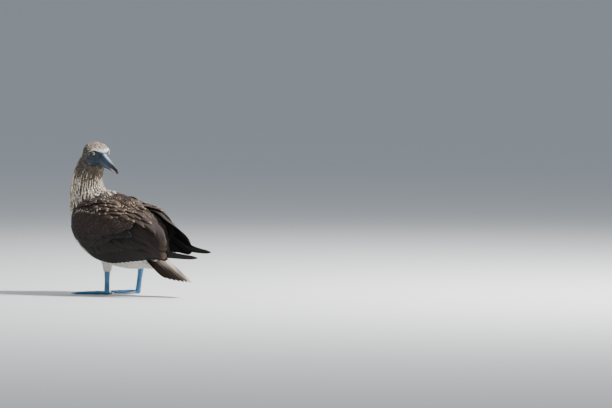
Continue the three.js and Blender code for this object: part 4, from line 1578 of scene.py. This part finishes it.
class Wing:
    """One folded wing: its arm, and its feathers in tiers."""

    def __init__(self, side: Side) -> None:
        """Start on one side."""
        self.side = side
        self.surface = WINGS[side]
        self.seed = 40 + side.value

    def arm(self) -> Mesh:
        """Build the arm and hand under the coverts, a closed pad along the wing."""
        shape = bmesh.new()
        bmesh.ops.create_grid(shape, x_segments=24, y_segments=14, size=1)
        bmesh.ops.solidify(shape, geom=shape.faces[:], thickness=0.5)
        mesh = mesh_of(shape, f"wing_{self.side.label}_arm")
        flat = mesh_points(mesh)
        far, across = (flat[:, 0] + 1) / 2, (flat[:, 1] + 1) / 2
        x = -94 + 252 * far**1.3
        low = Stations(((-95, 0.02), (-45, 0.03), (10, 0.12), (60, 0.24), (132, 0.4), (160, 0.5))).one(x)
        high = Stations(((-95, 1), (-45, 1), (60, 0.98), (132, 0.8), (160, 0.7))).one(x)
        inner = flat[:, 2] < flat[:, 2].mean()
        swell = np.sqrt(np.maximum(np.sin(np.pi * across), 0)) * np.minimum(1, 7 * far)
        swell = swell * np.minimum(1, 5 * (1 - far))
        lift = -1.5 - 1.0 * (1 - swell) - np.where(inner, 9 * swell, 0)
        set_points(mesh, self.surface.at(x, self.surface.above(x, low + (high - low) * across), lift))
        outward(mesh)
        set_points(mesh, FRAME.world(mesh_points(mesh)))
        return mesh

    def feather(self, cut: FeatherCut, root: Array, tip: Array, width: float, lifts: Array) -> Array:
        """Lay one feather on the wing's surface.

        Args:
            cut: The pattern that it is cut from.
            root: Its root as (x, share of the breadth, rise beyond it).
            tip: Its tip, given likewise.
            width: Its half breadth.
            lifts: How far its root and its tip stand off the surface.

        Returns:
            Its vertices in the bird's frame.
        """
        along, across, height = cut.shares()

        def middle(share: Array) -> Array:
            """Find the shaft's place on the wing, as x and the distance above the broadest line."""
            x, part, beyond = (root[i] + (tip[i] - root[i]) * share for i in range(3))
            return np.stack([x, self.surface.above(x, part, beyond)], axis=1)

        heading = unit(middle(along + 0.02) - middle(along - 0.02))
        spot = middle(along) + np.stack([-heading[:, 1], heading[:, 0]], axis=1) * (across * width)[:, None]
        camber = 0.05 * width * (1 - across**2)
        ease = 1 - (1 - along) ** 1.6
        lift = lifts[0] + (lifts[1] - lifts[0]) * ease + camber - 0.5 * across * FEATHER_TILT + height
        return self.surface.at(spot[:, 0], spot[:, 1], lift)

    def tier(self, tier: Tier, cut: FeatherCut, coat: Coat) -> None:
        """Lay one tier of feathers into a coat."""
        draw = np.random.default_rng(self.seed * 100 + len(tier.name) * 7 + tier.count)
        ranges = (tier.roots, tier.tips, tier.half_widths, tier.sunk, tier.lift)
        for k in range(tier.count):
            t = k / (tier.count - 1)
            steps = (np.array(ends[0]) * (1 - t) + np.array(ends[1]) * t for ends in ranges)
            root, tip, width, *lifts = steps
            tip = tip + draw.normal(0, 1, 3) * np.array([tier.jitter, 0.0, tier.jitter * 0.6])
            spread = LOOSE_SPREAD if tier.jitter > 1 else FIRM_SPREAD
            tone = tier.tone.rgb() * draw.uniform(1 - spread, 1 + 1.2 * spread)
            faded = float(1 - 0.4 * smooth(80, 140, tip[0]))
            shown = tier.trim * TRIM_SHARE * draw.uniform(0.0, 1.0) * faded
            raised = np.array(lifts) + draw.normal(0, 0.2 * tier.jitter) * np.array([0.0, 1.0])
            vertices = self.feather(cut, root, tip, width, raised)
            whitened = 0.6 * draw.random() * float(smooth(60, -20, tip[0]))
            pale = Tone.TIP.rgb() + (Tone.WHITE.rgb() - Tone.TIP.rgb()) * whitened
            coat.add(vertices, tone, pale, shown, coat.cell(len(coat.roots)))

    def small_coverts(self) -> Coat:
        """Lay the small coverts over the arm, in staggered rows from wrist to elbow."""
        draw = np.random.default_rng(self.seed + 7)
        coat = Coat(f"wing_{self.side.label}_small_coverts", SMALL_CUT)
        along, across, height = SMALL_CUT.shares()
        step_x, step_up = 4.2, 3.8
        for row, x0 in enumerate(np.arange(84, -96, -step_x)):
            low, high = self.surface.lower_edge.one(x0), self.surface.upper_edge.one(x0)
            start = low + (high - low) * COVERT_FLOOR.one(x0) + (row % 2) * step_up / 2
            for up in np.arange(start, high + 2, step_up):
                x = x0 + draw.normal(0, 0.8)
                above = up + draw.normal(0, 0.6)
                grown = float(smooth(-100, 30, x))
                length = (12 + 9 * grown) * draw.uniform(0.9, 1.12)
                width = (3.2 + 2.0 * grown) * draw.uniform(0.9, 1.1)
                drop = -0.22 + draw.normal(0, 0.06)
                place_x = x + along * length - drop * across * width
                place_up = above + drop * along * length + across * width
                lift = 1.7 + 1.3 * along**0.8 + 0.7 * height - 0.3 * across - 0.06 * np.abs(across) * width
                vertices = self.surface.at(place_x, place_up, lift)
                # Painted light: the small coverts are painted lighter towards the top of the wing and
                # towards its front.
                lit = 0.8 + 0.6 * float(smooth(-30, 40, above)) + 0.2 * float(smooth(20, -80, x))
                tone = Tone.COVERT.rgb() * draw.uniform(0.9, 1.15) * lit
                rim = float(smooth(high - 6, high - 1, above)) * float(smooth(62, 36, abs(x + 50)))
                shown = 0.05 * draw.random() ** 2 + 0.7 * rim
                spot = (0.02 + 0.96 * (x + 100) / 200, 0.5 + above / 180)
                coat.add(vertices, tone, Tone.CREAM.rgb() * 0.7, shown, spot)
        return coat

    def build(self, looks: Looks) -> None:
        """Build the whole wing and place its pieces."""
        name = f"wing_{self.side.label}"
        mesh = self.arm()
        # Painted shade: the arm under the coverts is painted at 0.7 of their colour, darker where it shows
        # between them.
        plain(mesh, Tone.COVERT.rgb() * 0.7)
        place(mesh, looks.skin, "brown_plumage", name)
        layers = {
            "flight": (FLIGHT_CUT, 0.09, WING_TIERS[:3], looks.flight),
            "coverts": (COVERT_CUT, 0.09, WING_TIERS[3:], looks.flight),
            "scapulars": (SCAPULAR_CUT, 0.06, SCAPULAR_TIERS, looks.scapular),
        }
        for label, (cut, patch, tiers, look) in layers.items():
            coat = Coat(f"{name}_{label}", cut, patch=patch)
            for tier in tiers:
                self.tier(tier, cut, coat)
            place(coat.mesh(), look, "brown_plumage")
        place(self.small_coverts().mesh(), looks.covert, "brown_plumage")


@dataclass
class Tail:
    """The tail: a roof-shaped fan of pointed feathers, and the quills' base."""

    root_x: float = 72
    root_z: float = 149
    length: float = 207
    slope: float = 33
    feathers: int = 14
    spread: float = 11
    lean: float = 0.9

    def at(self, feather: float, along: Array, across: Array, lift: Array) -> Array:
        """Find points of one feather of the fan.

        Args:
            feather: Its number from the middle, below 0 on the left.
            along: The share of its length.
            across: The distance across it.
            lift: How far the points stand off the fan.

        Returns:
            The points in the bird's frame.
        """
        slope = math.radians(self.slope)
        lean = math.radians(feather * self.lean)
        reach = along * (self.length - 4.2 * abs(feather) ** 1.5)
        y = feather * 2.4 + reach * math.sin(lean) + across * math.cos(lean)
        forward = reach * math.cos(lean) - across * math.sin(lean)
        height = lift - 16 * np.abs(y / 26) ** 1.6 - 1.5 * abs(feather)
        x = self.root_x + forward * math.cos(slope) + height * math.sin(slope)
        return np.stack([x, y, self.root_z - forward * math.sin(slope) + height * math.cos(slope)], axis=-1)

    def build(self, looks: Looks) -> None:
        """Build the fan and the coverts over and under its base."""
        along, across, height = TAIL_CUT.shares()
        coat = Coat("tail_feathers", TAIL_CUT, patch=0.09)
        draw = np.random.default_rng(71)
        for k in range(self.feathers):
            feather = (k - (self.feathers - 1) / 2) * self.spread / (self.feathers - 1)
            width = (17 - 0.5 * abs(feather)) / 2
            ease = 1 - (1 - along) ** 1.5
            lift = -3 * (1 - ease) + 1.5 * np.sign(feather) * across * 0.5 + height
            vertices = self.at(feather, 0.12 + 0.88 * along, across * width, lift)
            outer = float(smooth(1.2, 4.2, abs(feather)))
            pale = Tone.RUMP.rgb() * 1.7
            tone = (pale * (1 - outer) + Tone.COVERT.rgb() * outer) * draw.uniform(0.9, 1.12)
            brown = Tone.WARM.rgb() * (0.1 + 0.08 * draw.random())
            coat.add(vertices, tone, brown, 0.35 + 0.6 * float(smooth(0.4, 1.8, abs(feather))), coat.cell(k))
        place(coat.mesh(), looks.tail, "tail_plumage", "tail")
        place(self.base(), looks.skin, "tail_plumage")
        for top in (True, False):
            place(self.coverts(top).mesh(), looks.body, "tail_plumage")

    def base(self) -> Mesh:
        """Build the fleshy base that the quills sit in."""
        slope = math.radians(self.slope)

        def spot(reach: float, drop: float) -> Triple:
            """Find a place under the fan's middle."""
            x = self.root_x + reach * math.cos(slope) - drop * math.sin(slope)
            return x, 0, self.root_z - reach * math.sin(slope) - drop * math.cos(slope)

        line = Line((spot(8, 6), spot(70, 9), spot(118, 8)))
        sections = Stations(((0, 13, 7, 7), (0.4, 22, 8, 8), (0.75, 20, 5, 5), (1, 10, 1.5, 1.5)))
        mesh = Sweep(line, sections, 20, 24).mesh("tail_base")
        set_points(mesh, FRAME.world(mesh_points(mesh)))
        plain(mesh, Tone.RUMP.rgb())
        return mesh

    def coverts(self, top: bool) -> Coat:
        """Lay the coverts over or under the quills' base.

        Args:
            top: Over it rather than under it.

        Returns:
            The feathers.
        """
        draw = np.random.default_rng(73 if top else 74)
        coat = Coat("tail_upper_coverts" if top else "tail_under_coverts", BROAD_CUT)
        along, across, height = BROAD_CUT.shares()
        rise, drop, sign = (4, 0, 1) if top else (14, 5, -1)
        colour = Tone.RUMP.rgb() * 0.8 if top else Tone.WHITE.rgb() * 0.85
        for start in np.arange(0.36, 0.02, -0.028):
            for spread in np.arange(-24, 24.1, 4.4):
                reach = start + draw.normal(0, 0.008)
                length = draw.uniform(0.13, 0.17)
                width = draw.uniform(4.2, 5.6)
                side = spread + draw.normal(0, 1)
                off = rise * (1 - reach) * (1 - (side / 34) ** 2) + 2.5 * along
                lift = sign * (off + height) - drop
                vertices = self.at(0, reach + along * length, side + across * width, lift)
                tone = colour * draw.uniform(0.7, 1.15)
                coat.add(vertices, tone, Tone.CREAM.rgb(), 0.5, (0.5 + side / 60, 0.1 + reach))
        return coat


@dataclass(frozen=True)
class Bill:
    """The bill: two mandibles that meet along the line of the mouth."""

    root: float = 25
    tip: float = 128

    def line(self, end: float, hook: float) -> Line:
        """Lay the line of the mouth, which dips at the tip.

        Args:
            end: How far forward it goes.
            hook: How far it dips at the end.

        Returns:
            The line in the head's frame.
        """
        reach = end - self.root
        spots = ((0, -6.2), (0.35, -5.0), (0.7, -4.3), (0.9, -4.6 - hook * 0.4), (1, -5.0 - hook))
        return Line(tuple((self.root + reach * t, 0, z) for t, z in spots))

    @staticmethod
    def groove(along: Array, turn: Array) -> Array:
        """Press in the long groove on each side of the upper mandible, and keep a ridge on top of it."""
        lower = bell(np.minimum(turn, np.pi - turn), 0.62, 0.13)
        ridge = bell(turn, np.pi / 2, 0.3)
        return 1 - 0.075 * lower * smooth(0.02, 0.12, along) * smooth(0.95, 0.7, along) + 0.035 * ridge

    def build(self) -> None:
        """Build both mandibles."""
        upper = Stations((
            (0, 13.4, 20.2, 1.6), (0.3, 10.1, 14.4, 1.4), (0.6, 6.9, 9.9, 1.2), (0.85, 4.8, 7.2, 1.0),
            (0.95, 3.7, 5.8, 1.2), (1, 2.0, 3.6, 1.6),
        ))
        lower = Stations((
            (0, 12.8, 1.2, 13.6), (0.3, 9.4, 0.6, 12.0), (0.6, 6.6, 0.1, 9.2), (0.85, 4.5, -0.4, 6.7),
            (0.95, 3.3, -0.6, 5.2), (1, 1.7, -0.7, 3.4),
        ))
        ramp = ((0.0, "#1f2d3c"), (0.14, "#2b3c4f"), (0.4, "#3c4e61"), (0.66, "#2f3a45"), (0.86, "#121518"))
        horn = HornFinish("bill_horn", ramp, "#18212b", 0.34, 70.0, 0.6).material()
        self.mandible("bill_upper", self.line(self.tip, 1.8), upper, horn, self.groove)
        self.mandible("bill_lower", self.line(self.tip - 3.5, 0.2), lower, horn, None)

    def mandible(self, name: str, line: Line, sections: Stations, horn: Material, relief: Relief) -> None:
        """Build one mandible and place it."""
        shaped = {"fullness": 0.94, "even": True, "in_head": True, "relief": relief}
        mesh = Sweep(line, sections, 64, 40, HEAD_LEFT, **shaped).mesh(f"{name}_horn")
        points = mesh_points(mesh)
        x, y, z = FRAME.to_head(points).T
        share = (x - self.root) / (self.tip - self.root)
        paint(mesh, "Along", np.clip(share, 0, 1))
        edge = bell(z + 5.6 + 1.0 * smooth(0.8, 1, share), 0, 1.7) * smooth(0.6, 0.76, share)
        edge = 0.95 * edge * smooth(0.985, 0.93, share)
        # Painted highlight: a pale blue-grey along the top of the culmen over the bill's root half; the Tint
        # also holds a flesh-coloured strip along the mouth's edge near the tip.
        ridge = smooth(5.5, 1.5, np.abs(y)) * smooth(0.72, 0.3, share) * smooth(-3, 2, z)
        flesh, pale = (np.array(linear(code)[:3]) for code in ("#e6c3b5", "#b9c6d2"))
        tint = blend(pale, flesh, smooth(0.5, 0.6, share))
        paint(mesh, "Tint", np.column_stack([tint, np.maximum(edge, 0.55 * ridge)]))
        set_points(mesh, FRAME.world(points))
        place(mesh, horn, "bill", name)


@dataclass(frozen=True)
class Eyes:
    """The eyes and the bare rings round them."""

    radius: float = 7.2
    forward: float = 26
    ring: float = 5.2
    thickness: float = 1.5
    outward: float = 4.5
    depth: float = 1.4
    back: float = 3.0

    def gaze(self, side: int) -> Array:
        """Find where an eye looks, in the head's frame."""
        turn = math.radians(self.forward)
        return np.array([math.sin(turn), side * math.cos(turn), 0.0])

    def centre(self, side: int) -> Array:
        """Find the middle of an eyeball, in the head's frame."""
        x, y, z = FRAME.eye_place
        return np.array([x - self.back, side * (y - self.depth), z])

    def build(self) -> None:
        """Build both eyes and their lids."""
        eye = EyeFinish().material()
        rim = BareSkinFinish("eye_ring", "#18202a", "#0c1117", "#05080b", 1100.0, (1, 1, 1)).material()
        for name, side in (("left", 1), ("right", -1)):
            self.ball(name, side, eye)
            self.lids(name, side, rim)

    def ball(self, name: str, side: int, material: Material) -> None:
        """Build one eyeball, with the bulge of its cornea."""
        shape = bmesh.new()
        bmesh.ops.create_uvsphere(shape, u_segments=48, v_segments=40, radius=1)
        mesh = mesh_of(shape, f"eye_{name}_ball")
        ball = mesh_points(mesh)
        polar = np.arccos(np.clip(ball[:, 2], -1, 1))
        bulge = 1 + 0.05 * bell(polar, 0, 0.55)
        axis = self.gaze(side)
        first = unit(np.cross(axis, UP))
        second = np.cross(axis, first)
        local = ball[:, :1] * first + ball[:, 1:2] * second + ball[:, 2:] * axis
        points = FRAME.from_head(self.centre(side) + local * self.radius * bulge[:, None])
        set_points(mesh, FRAME.world(points))
        paint(mesh, "Polar", np.clip(polar / (np.pi / 2), 0, 1))
        outward(mesh)
        place(mesh, material, "eye", f"eye_{name}")

    def lids(self, name: str, side: int, material: Material) -> None:
        """Build the ring of the two lids, a little drawn in at its corners."""
        axis = self.gaze(side)
        forward = unit(np.cross(UP, axis)) * side * -1
        centre = self.centre(side) + axis * self.outward
        shape = bmesh.new()
        bmesh.ops.create_circle(shape, cap_ends=False, segments=12, radius=1)
        turned = Matrix.Rotation(math.pi / 2, 4, "X")
        bmesh.ops.transform(shape, matrix=turned, verts=shape.verts)
        bmesh.ops.translate(shape, vec=(4, 0, 0), verts=shape.verts)
        whole = shape.verts[:] + shape.edges[:]
        around = {"cent": (0, 0, 0), "axis": (0, 0, 1), "angle": 2 * math.pi, "steps": 56}
        bmesh.ops.spin(shape, geom=whole, use_merge=True, **around)
        bmesh.ops.remove_doubles(shape, verts=shape.verts, dist=1e-4)
        mesh = mesh_of(shape, f"eye_{name}_lids")
        ring = mesh_points(mesh)
        turn = np.arctan2(ring[:, 1], ring[:, 0])
        reach = np.hypot(ring[:, 0], ring[:, 1]) - 4
        wrinkled = 1 + 0.06 * np.sin(22 * turn)
        out = self.ring + reach * self.thickness * wrinkled
        squeeze = np.where(np.sin(turn) > 0, 0.95, 0.97)
        local = (
            centre
            + forward * (np.cos(turn) * out * 1.05)[:, None]
            + UP * (np.sin(turn) * out * squeeze)[:, None]
            + axis * (ring[:, 2] * self.thickness * 0.9 - 0.5 * np.cos(2 * turn))[:, None]
        )
        set_points(mesh, FRAME.world(FRAME.from_head(local)))
        paint(mesh, "Web", np.zeros(len(mesh.vertices)))
        outward(mesh)
        place(mesh, material, "face_skin")


@dataclass(frozen=True)
class Toe:
    """One toe: its length, its spread from straight ahead towards the body's middle, and its radius."""

    length: float
    spread: float
    radius: float


TOES = (Toe(78, -17, 4.2), Toe(80, 3, 4.4), Toe(60, 25, 4.0), Toe(27, 78, 3.2))
CLAW_LENGTH = 9
TOE_ACROSS = (0.0, 1.0, 0.02)


@dataclass
class Leg:
    """One blue leg: shank, webbed foot and claws."""

    side: Side

    def on_foot(self, distance: Array | float, spread: Array | float, height: Array | float) -> Array:
        """Find points of the foot, at a distance from the heel in a direction off straight ahead."""
        foot = FEET[self.side]
        heading = np.radians(foot.turn - np.asarray(spread, float))
        x = foot.x - distance * np.cos(heading)
        y = foot.y + self.side.value * distance * np.sin(heading)
        return np.stack(np.broadcast_arrays(x, y, np.asarray(height, float)), axis=-1)

    def path(self, spots: Rows) -> Line:
        """Lay a line through places of the foot, each given as distance, spread and height."""
        return Line(tuple(tuple(self.on_foot(*spot)) for spot in spots))

    def shank(self) -> Mesh:
        """Build the shank, from inside the thigh's feathers to the heel."""
        foot = FEET[self.side]
        way = unit(foot.heel() - foot.ankle())
        sections = Stations((
            (0, 6.8, 8, 8), (0.15, 6.4, 7.6, 7.6), (0.5, 5.4, 6.7, 6.7), (0.85, 5.8, 7, 7),
            (1, 6.3, 7.4, 7.4),
        ))
        line = Line((tuple(foot.ankle() - way * 10), tuple(foot.heel() + way * 3)))
        return Sweep(line, sections, 40, 28, even=True).mesh("shank_form")

    def toe(self, toe: Toe) -> Mesh:
        """Build one toe, with a swelling at each joint."""
        spots = (
            (0, 0, 5.2), (toe.length * 0.4, toe.spread, toe.radius * 1.05),
            (toe.length * 0.75, toe.spread * 1.03, toe.radius * 0.82),
            (toe.length, toe.spread * 1.05, toe.radius * 0.6),
        )
        shares = np.linspace(0, 1, 13)
        sizes = (toe.radius * (1 - 0.38 * t) * (1 + 0.08 * math.cos(6 * math.pi * t)) for t in shares)
        sections = Stations(tuple((t, size, size, size) for t, size in zip(shares, sizes)))
        return Sweep(self.path(spots), sections, 40, 20, across=TOE_ACROSS).mesh("toe_form")

    def web(self, outer: Toe, inner: Toe) -> Mesh:
        """Build the web between two toes, scalloped at its edge and slack between the toes."""
        shape = bmesh.new()
        bmesh.ops.create_grid(shape, x_segments=24, y_segments=24, size=1)
        bmesh.ops.solidify(shape, geom=shape.faces[:], thickness=0.5)
        mesh = mesh_of(shape, "web_form")
        flat = mesh_points(mesh)
        u, v = (flat[:, 0] + 1) / 2, (flat[:, 1] + 1) / 2
        spread = outer.spread + (inner.spread - outer.spread) * u
        reach = outer.length + (inner.length - outer.length) * u - 30 * u * (1 - u)
        upper = flat[:, 2] > flat[:, 2].mean()
        pleat = 0.35 * np.sin(26 * u) * np.sin(np.pi * v) * np.sin(np.pi * u)
        middle = 2.1 + 1.2 * np.sin(np.pi * u) * np.sin(np.pi * v) + pleat
        set_points(mesh, self.on_foot(5 + (reach - 6) * v, spread, middle + np.where(upper, 0.75, -0.75)))
        outward(mesh)
        return mesh

    def build(self, skin: Material, horn: Material) -> None:
        """Build the leg and place its pieces."""
        label = self.side.label
        foot = FEET[self.side]
        shape = bmesh.new()
        bmesh.ops.create_uvsphere(shape, u_segments=24, v_segments=16, radius=6.4)
        bmesh.ops.translate(shape, vec=tuple(foot.heel() + 0.6 * UP), verts=shape.verts)
        forms = [mesh_of(shape, "pad_form"), self.shank()]
        forms += [self.toe(toe) for toe in TOES]
        forms += [self.web(outer, inner) for outer, inner in zip(TOES, TOES[1:])]
        mesh = fused(forms, f"leg_{label}", 0.8, 3)
        points = FRAME.bird(mesh_points(mesh))
        web = self.webbing(points)
        points[:, 2] = np.maximum(points[:, 2], 0.0)
        set_points(mesh, FRAME.world(points))
        paint(mesh, "Web", web)
        place(mesh, skin, "blue_skin", f"tarsus_{label}", f"foot_{label}")
        for number, toe in enumerate(TOES, 1):
            self.claw(toe, f"claw_{label}_{number}", horn)

    def webbing(self, points: Array) -> Array:
        """Find how much points belong to the webs rather than to the toes or the shank."""
        nearest = np.full(len(points), np.inf)
        for toe in TOES:
            ray = self.on_foot(np.linspace(0, toe.length, 40), toe.spread, 3.0)
            gap = np.linalg.norm(points[:, None, :2] - ray[None, :, :2], axis=2).min(axis=1)
            nearest = np.minimum(nearest, gap)
        return smooth(3.2, 6.0, nearest) * smooth(12, 8, points[:, 2])

    def claw(self, toe: Toe, name: str, horn: Material) -> None:
        """Build one curved claw and place it."""
        spots = (
            (toe.length - 4, toe.spread * 1.05, toe.radius * 0.62),
            (toe.length + CLAW_LENGTH * 0.5, toe.spread * 1.06, toe.radius * 0.72),
            (toe.length + CLAW_LENGTH, toe.spread * 1.07, 1.1),
        )
        sections = Stations(((0, 2.0, 2.2, 2.0), (0.5, 1.5, 1.5, 1.3), (1, 0.35, 0.4, 0.35)))
        mesh = Sweep(self.path(spots), sections, 24, 16, across=TOE_ACROSS, even=True).mesh(f"{name}_horn")
        points = mesh_points(mesh)
        far = np.linalg.norm(points[:, :2] - self.on_foot(*spots[0])[:2], axis=1) / (CLAW_LENGTH + 4)
        paint(mesh, "Along", np.clip(far, 0, 1))
        paint(mesh, "Tint", np.zeros((len(points), 4)))
        set_points(mesh, FRAME.world(points))
        place(mesh, horn, "claw", name)


@dataclass(frozen=True)
class Studio:
    """The plain studio round the bird, with the camera at the photograph's viewing angle."""

    azimuth: float = 43
    elevation: float = 2.5
    scale: float = 2.4
    lens: float = 400
    sensor: float = 36
    frame_x: float = 118
    frame_y: float = 293.8
    floor_radius: float = 120
    aim: float = 0.18

    def axes(self) -> tuple[Array, Array, Array]:
        """Find the camera's right, up and backward directions."""
        a, e = math.radians(self.azimuth), math.radians(self.elevation)
        right = np.array([math.cos(a), math.sin(a), 0.0])
        back = np.array([math.sin(a) * math.cos(e), -math.cos(a) * math.cos(e), math.sin(e)])
        return right, np.cross(back, right), back

    def camera(self) -> None:
        """Set up the camera so that the bird fills the same part of the frame as in the photograph."""
        right, up, back = self.axes()
        middle = right * (PHOTO_WIDTH / 2 - self.frame_x) + up * (self.frame_y - PHOTO_HEIGHT / 2)
        distance = self.scale * PHOTO_WIDTH * self.lens / self.sensor
        data = bpy.data.cameras.new("camera")
        data.lens = self.lens
        data.sensor_width = self.sensor
        data.clip_start = 0.1
        data.clip_end = 400
        camera = linked("camera", data)
        spot = FRAME.world(middle * self.scale + back * distance)
        turned = Matrix((Vector(right), Vector(up), Vector(back))).transposed()
        camera.matrix_world = Matrix.Translation(Vector(spot)) @ turned.to_4x4()
        bpy.context.scene.camera = camera

    def floor(self) -> None:
        """Lay a plain pale floor."""
        shape = bmesh.new()
        bmesh.ops.create_circle(shape, cap_ends=True, segments=96, radius=self.floor_radius)
        mesh = mesh_of(shape, "floor")
        material, nodes = new_material("floor")
        finish(nodes, {"Base Color": linear("#dcdcda"), "Roughness": 0.9, "Specular IOR Level": 0.2})
        mesh.materials.append(material)
        floor = linked("floor", mesh)

    def light(self, name: str, way: Triple, distance: float, size: float, power: float) -> None:
        """Hang one soft lamp.

        Args:
            name: The lamp's name.
            way: Where it hangs, in the camera's right, back and the floor's up.
            distance: How far from the bird, in metres.
            size: How large it is, in metres.
            power: Its power in watts.
        """
        right, _, back = self.axes()
        flat = unit(np.array([back[0], back[1], 0.0]))
        direction = unit(right * way[0] + flat * way[1] + UP * way[2])
        data = bpy.data.lights.new(name, "AREA")
        data.shape = "DISK"
        data.size = size
        data.energy = power
        lamp = linked(name, data)
        target = Vector((0.0, 0.0, self.aim))
        lamp.location = target + Vector(direction) * distance
        lamp.rotation_euler = (lamp.location - target).to_track_quat("Z", "Y").to_euler()

    def build(self) -> None:
        """Set up floor, lights, world and camera."""
        self.floor()
        self.light("key", (1.05, 0.02, 1.15), 2.6, 0.55, 200)
        self.light("fill", (-0.8, 0.9, 0.5), 3.2, 2.2, 9)
        self.light("back", (0.1, -1.0, 0.9), 3.0, 1.6, 24)
        world = bpy.data.worlds.new("studio")
        bpy.context.scene.world = world
        world.use_nodes = True
        nodes = Nodes(world.node_tree)
        sky = nodes.add("Background", {"Color": (0.77, 0.87, 1.0, 1), "Strength": 0.42})
        nodes.add("OutputWorld", {"Surface": sky.outputs[0]})
        self.camera()


def main() -> None:
    """Build the bird and its studio."""
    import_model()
    FRAME.settle()
    skin = BodySkin()
    looks = Looks(
        skin_material(),
        FeatherFinish("flight_feathers", 0.62, 0.02, 150.0, 0.12, 0.08, 0.25, 0.76).material(),
        FeatherFinish("tail_feathers", 0.66, 0.02, 150.0, 0.12, 0.1, 0.25, 0.4).material(),
        FeatherFinish("scapular_feathers", 0.7, 0.04, 90.0, 0.2, 0.1, 0.3, 0.8).material(),
        FeatherFinish("covert_feathers", 0.75, 0.03, 60.0, 0.0, 0.05, 0.15, 0.7).material(),
        FeatherFinish("body_feathers", 0.85, 0.06, 26.0, 0.0, 0.05, 0.2, 0.62).material(),
    )
    for patch in PATCHES:
        place(patch.grow(skin, BODY_CUT).mesh(), looks.body, "streaked_plumage")
    skin.show(looks.skin)
    for side in Side:
        Wing(side).build(looks)
    Tail().build(looks)
    Bill().build()
    Eyes().build()
    blue = BareSkinFinish("blue_skin", "#3f7ea9", "#2b5f8b", "#1d4161", 520.0, (1, 1, 0.7)).material()
    claw_ramp = ((0.0, "#5b6066"), (0.6, "#3a3c40"), (1.0, "#222326"))
    horn = HornFinish("claw_horn", claw_ramp, "#2a2a2c", 0.4, 200.0, 0.4).material()
    for side in Side:
        Leg(side).build(blue, horn)
    Studio().build()


if __name__ == "__main__":
    main()
